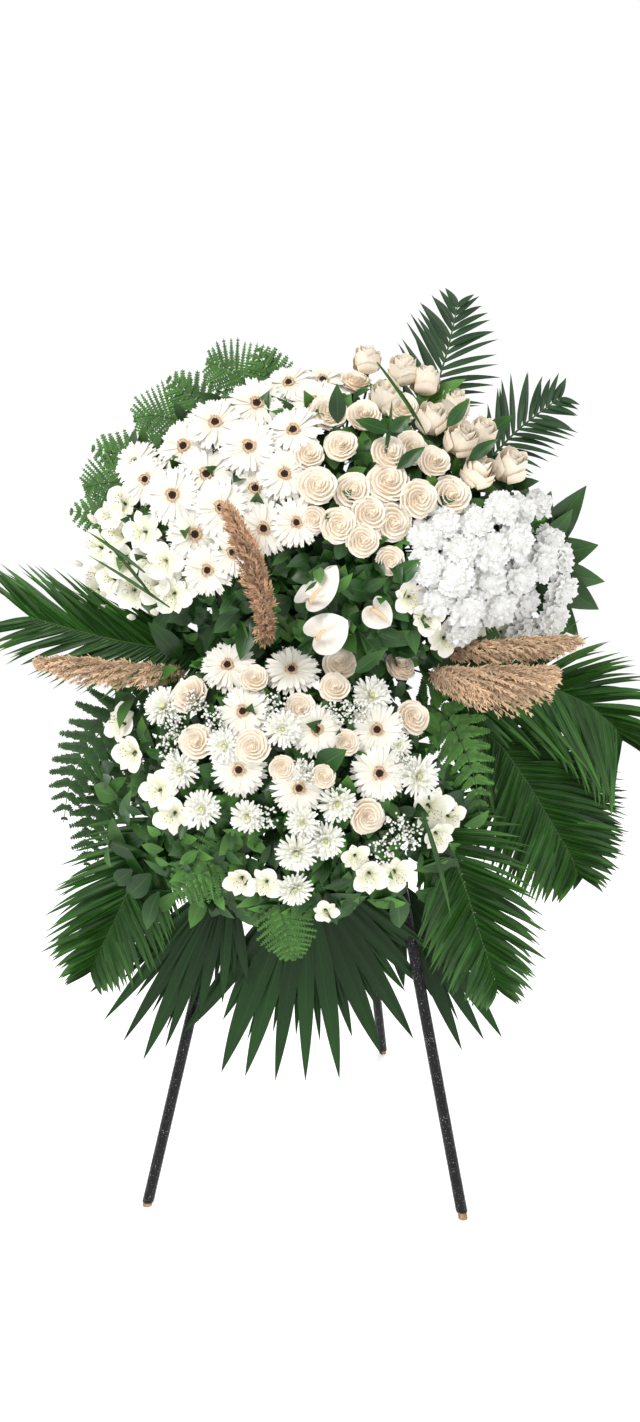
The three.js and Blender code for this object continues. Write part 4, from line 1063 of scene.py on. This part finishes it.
def growPlume(name, plume):
    growth = Growth()
    spots = smoothRoute(plume["route"], 40)
    addRod(growth, spots, np.linspace(2.6, 0.8, 40), 6, slot=1)
    for i in range(plume["tufts"]):
        share = (i + random.random()) / plume["tufts"]
        spot, along = onRoute(spots, plume["from"] + (0.99 - plume["from"]) * share)
        side, top = axesOf(along, front)[1:]
        turn = i * 2.4
        out = unit(side * math.cos(turn) + top * math.sin(turn))
        girth = plume["girth"] * math.sin(math.pi * (0.13 + 0.84 * share)) ** 0.8 * vary(0.25)
        # each tuft arches out from the stalk, along it, and hangs a little
        length = girth * 1.9
        tip = spot + out * girth * 0.8 + along * length * 0.85 - up * girth * 0.45
        route = smoothRoute([spot, spot + out * girth * 0.55 + along * length * 0.3, tip], 7)
        tint = random.random()
        for k in range(tuft["blades"]):
            seat, ahead = onRoute(route, 0.15 + 0.84 * k / tuft["blades"])
            for twig in range(tuft["twigs"]):
                spread = scatter()
                addLeaf(growth, seat, ahead * 0.9 + spread * 0.55 - up * 0.15, front + spread * 0.4,
                        tuft["length"] * vary(0.3), tuft["width"] * vary(0.3), 0.45, 0.3,
                        random.uniform(0, 0.6), 0.5, rows=4, columns=2,
                        tint=min(1, max(0, tint + random.uniform(-0.25, 0.25))))
        addRod(growth, route, 0.5, 3, tint=tint)
    makePiece(name, growth, (plume["finish"], "stem"), (name,))


for name, plume in plumes.items():
    growPlume(name, plume)
print("grass plumes grown")

# broad leaves

broadLeaf = {"widest": 0.42, "rootShare": 0.08, "fold": 0.25, "rows": 10, "columns": 5, "wave": 0.06}


def addBroadLeaf(growth, root, tip, width, facing, bend):
    root, tip = vec(*root), vec(*tip)
    along = tip - root
    length = np.linalg.norm(along)
    addLeaf(growth, root, along + facing * length * bend * 0.4, facing, length * 1.03, width, bend=bend,
            twist=random.uniform(-0.2, 0.2), **broadLeaf)


sprays = {
    "right_rim_leaves": {
        "stalk": [(130, -90, 1230), (172, -90, 1232), (300, -76, 1240), (400, -76, 1250)],
        "leaves": [((400, -76, 1250), (505, -82, 1395), 62), ((395, -74, 1250), (530, -80, 1285), 66),
                   ((400, -78, 1240), (535, -82, 1165), 70), ((390, -76, 1260), (440, -76, 1385), 60),
                   ((400, -72, 1230), (500, -76, 1110), 62), ((400, -82, 1255), (480, -90, 1350), 52),
                   ((400, -70, 1245), (548, -76, 1215), 56), ((380, -70, 1270), (400, -70, 1380), 60),
                   ((380, -72, 1285), (340, -66, 1395), 56)]},
    "valley_leaf_cluster": {
        "stalk": [(56, -200, 1165), (56, -240, 1158), (56, -275, 1150)],
        "leaves": [((56, -270, 1150), (46, -312, 1238), 44), ((56, -270, 1150), (-12, -298, 1300), 46),
                   ((56, -270, 1150), (168, -275, 1112), 44), ((56, -270, 1150), (112, -284, 1086), 42),
                   ((56, -270, 1150), (-52, -272, 1088), 42), ((40, -270, 1200), (-20, -300, 1268), 46),
                   ((60, -270, 1200), (52, -300, 1275), 44), ((70, -270, 1190), (120, -300, 1258), 46),
                   ((100, -262, 1160), (175, -290, 1205), 48), ((30, -275, 1180), (-45, -320, 1215), 44),
                   ((60, -285, 1180), (75, -325, 1240), 42), ((110, -280, 1180), (150, -320, 1222), 40),
                   ((40, -275, 1160), (20, -325, 1215), 36), ((120, -262, 1150), (200, -290, 1170), 46),
                   ((140, -255, 1200), (200, -285, 1240), 44), ((-60, -265, 1160), (-120, -285, 1205), 44),
                   ((-40, -265, 1200), (-75, -300, 1262), 44), ((-60, -260, 1150), (-140, -270, 1145), 46),
                   ((-70, -240, 1150), (-160, -255, 1120), 50), ((0, -230, 1140), (-20, -255, 1070), 48),
                   ((120, -230, 1140), (190, -255, 1090), 50), ((160, -235, 1160), (240, -250, 1130), 48),
                   ((60, -225, 1130), (70, -255, 1050), 48), ((240, -200, 1160), (335, -215, 1105), 60),
                   ((230, -200, 1130), (335, -205, 1050), 60), ((200, -200, 1110), (275, -215, 1030), 56),
                   ((220, -200, 1080), (320, -195, 990), 58), ((-110, -235, 1170), (-200, -250, 1185), 46)]},
}


def growSpray(name, spray):
    growth = Growth()
    addRod(growth, smoothRoute(spray["stalk"], 8), 3.2, 6, slot=1)
    for root, tip, width in spray["leaves"]:
        facing = unit(front + scatter(0.45))
        addBroadLeaf(growth, root, tip, width, facing, random.uniform(0.2, 0.6))
    makePiece(name, growth, ("leaf", "stem"), (name,))


for name, spray in sprays.items():
    growSpray(name, spray)
print("leaf sprays grown")

# the beds of short greenery behind the flowers

beds = {
    "upper_greenery_bed": {"dome": "upper", "lowest": 1060, "layers": (
        (0.93, 460, 44, 22, 1), (0.85, 380, 62, 34, 1), (0.7, 190, 78, 42, 1), (0.85, 170, 74, 36, 1.12))},
    "lower_greenery_bed": {"dome": "lower", "lowest": 640, "layers": (
        (0.9, 380, 40, 18, 1), (0.82, 280, 56, 28, 1), (0.7, 170, 72, 38, 1), (0.8, 260, 76, 36, 1.35))},
}


def growBed(name, bed):
    growth = Growth()
    centre, axes = domes[bed["dome"]]["centre"], domes[bed["dome"]]["axes"]
    for scale, count, length, width, spreadOut in bed["layers"]:
        for i in range(count):
            reach = math.sqrt((i + 0.5) / count) * 0.97 * spreadOut
            x = centre[0] + axes[0] * scale * reach * math.cos(i * 2.4)
            z = max(centre[2] + axes[2] * scale * reach * math.sin(i * 2.4), bed["lowest"])
            spot, facing = onDome(bed["dome"], x, z, scale)
            spread = unit(scatter() - facing * 0.2)
            outward = unit(vec(x - centre[0], 0, z - centre[2]) + vec(0, 0, 0.01))
            along = unit(spread + facing * random.uniform(-0.2, 0.3) + outward * 0.5)
            addLeaf(growth, spot - facing * 8, along, facing, length * vary(0.3), width * vary(0.25), 0.45,
                    0.15, random.uniform(0.2, 0.9), 0.3, rows=6, slot=0 if i % 3 else 1)
    makePiece(name, growth, ("leaf", "fern"), (name,))


for name, bed in beds.items():
    growBed(name, bed)
print("greenery beds grown")

# clouds of small white florets on hair-thin branching stems

clouds = {
    "places": ((-250, 975), (-262, 940), (-215, 1012), (-75, 1012), (30, 1000), (-30, 905), (-95, 825),
               (140, 905), (130, 800), (110, 760), (155, 780), (-180, 985), (65, 1000)),
    "florets": 62, "spread": 26, "size": 2.3,
}


def growClouds():
    growth = Growth()
    for x, z in clouds["places"]:
        spot, facing = onDome("lower", x, z)
        seat = spot - facing * 45
        for i in range(clouds["florets"]):
            spread = scatter()
            spread = unit(spread) * random.random() ** 0.4 * clouds["spread"]
            place = spot + spread + facing * 6
            joint = (seat + place) / 2 + scatter(5)
            addRod(growth, [seat, joint, place], 0.35, 3, slot=1)
            size = clouds["size"] * vary(0.25)
            floret = Growth()
            lathe(floret, [(0.001, -1), (0.75, -0.6), (1, 0.1), (0.7, 0.75), (0.001, 0.95)], 6)
            growth.join(floret, place, turnTo(unit(spread + facing * 10)), size)
    makePiece("small_floret_clouds", growth, ("babysBreath", "stem"))


growClouds()
print("small florets grown")

# single leaves and blades that show between the flowers


def growAccents():
    broad = Growth()
    for root, tip, width in (
            ((125, -338, 1225), (170, -350, 1262), 34), ((-5, -365, 905), (42, -395, 942), 46),
            ((60, -345, 1070), (110, -370, 1110), 26),
            ((115, -340, 1475), (60, -345, 1495), 26), ((120, -345, 1475), (150, -352, 1500), 26),
            ((30, -330, 1490), (28, -352, 1550), 30), ((130, -338, 1415), (175, -345, 1450), 24),
            ((215, -320, 1485), (250, -330, 1530), 24), ((255, -300, 1430), (300, -320, 1465), 24),
            ((-30, -340, 720), (-70, -360, 680), 26), ((80, -330, 790), (110, -365, 745), 26),
            ((-20, -320, 680), (-50, -330, 625), 30), ((10, -320, 670), (30, -330, 615), 28)):
        addBroadLeaf(broad, root, tip, width, unit(vec(random.uniform(-0.2, 0.2), -1, 0.3)), 0.3)
    makePiece("accent_leaves", broad, ("leaf", "stem"))
    blades = Growth()
    for route, width in (
            ([(120, -320, 1560), (150, -350, 1520), (190, -345, 1470)], 7),
            ([(95, -330, 1590), (140, -352, 1545), (175, -350, 1490)], 6),
            ([(110, -335, 1440), (112, -352, 1480), (125, -350, 1530)], 8),
            ([(-300, -330, 1240), (-370, -330, 1290), (-420, -290, 1330)], 7),
            ([(-290, -320, 1200), (-340, -335, 1250), (-385, -310, 1320)], 6),
            ([(-260, -320, 1180), (-320, -335, 1215), (-420, -300, 1290)], 6),
            ([(180, -330, 820), (215, -345, 720), (262, -310, 590)], 10)):
        spots = smoothRoute(route, 8)
        along = spots[-1] - spots[0]
        addLeaf(blades, spots[0], along, unit(vec(0.2, -1, 0.2)), np.linalg.norm(along), width, 0.35, 0.4,
                0.5, 0.4, rows=12, twist=0.4)
    makePiece("accent_blades", blades, ("palm", "stem"))


growAccents()
print("accent leaves grown")

# finishes of the stand, which stays as the frame made it


def woodMaterial():
    material, tree, shader = newMaterial("bare_wood", 0.65)
    place = node(tree, "ShaderNodeTexCoord").outputs["Object"]
    stretch = node(tree, "ShaderNodeMapping", Vector=place, Scale=(60, 60, 5)).outputs["Vector"]
    grain = node(tree, "ShaderNodeTexNoise", Vector=stretch, Scale=4.0, Detail=6.0, Distortion=0.6)
    share = grain.outputs["Fac"]
    colour = colourRamp(tree, share, (0.24, 0.13, 0.06), (0.52, 0.34, 0.18), 0.35, 0.7)
    give(tree, shader.inputs["Base Color"], colour)
    addRelief(tree, shader, share, 0.35, 0.0006)
    return material


def filmMaterial():
    # black film pulled tight round the legs: sharp creases, and painted glints: light grey specks in its
    # colour stand for where the film catches the light
    material, tree, shader = newMaterial("black_film", 0.3)
    place = node(tree, "ShaderNodeTexCoord").outputs["Object"]
    stretch = node(tree, "ShaderNodeMapping", Vector=place, Scale=(70, 70, 34), Rotation=(0.5, 0.3, 0))
    crease = node(tree, "ShaderNodeTexVoronoi", feature="DISTANCE_TO_EDGE", Scale=1.0,
                  Vector=stretch.outputs["Vector"])
    paintedGlint = node(tree, "ShaderNodeTexNoise", Vector=place, Scale=420.0, Detail=2.0).outputs["Fac"]
    # painted glints: the speck noise turns small spots of the black colour light grey
    colour = colourRamp(tree, paintedGlint, (0.008, 0.008, 0.009), (0.45, 0.46, 0.45), 0.66, 0.72)
    give(tree, shader.inputs["Base Color"], colour)
    addRelief(tree, shader, crease.outputs["Distance"], 0.9, 0.0022)
    shader.inputs["Specular IOR Level"].default_value = 0.22
    return material


wood, film = woodMaterial(), filmMaterial()
standFinishes = {
    "pole": wood, "batten": wood, "wrap": film, "binding": film,
    "tray": speckledMaterial("green_tray", (0.02, 0.06, 0.025), (0.035, 0.085, 0.035), 180, 0.45, bump=0.15),
    "foam": speckledMaterial("green_foam", (0.04, 0.11, 0.035), (0.09, 0.2, 0.07), 900, 0.95, bump=0.8),
}
for name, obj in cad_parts.items():
    kind = name.replace("foam_tray", "tray").replace("foam_block", "foam").split("_")[-1]
    if kind in standFinishes:
        obj.data.materials.clear()
        obj.data.materials.append(standFinishes[kind])
print("stand finished")

# the end


print("done")
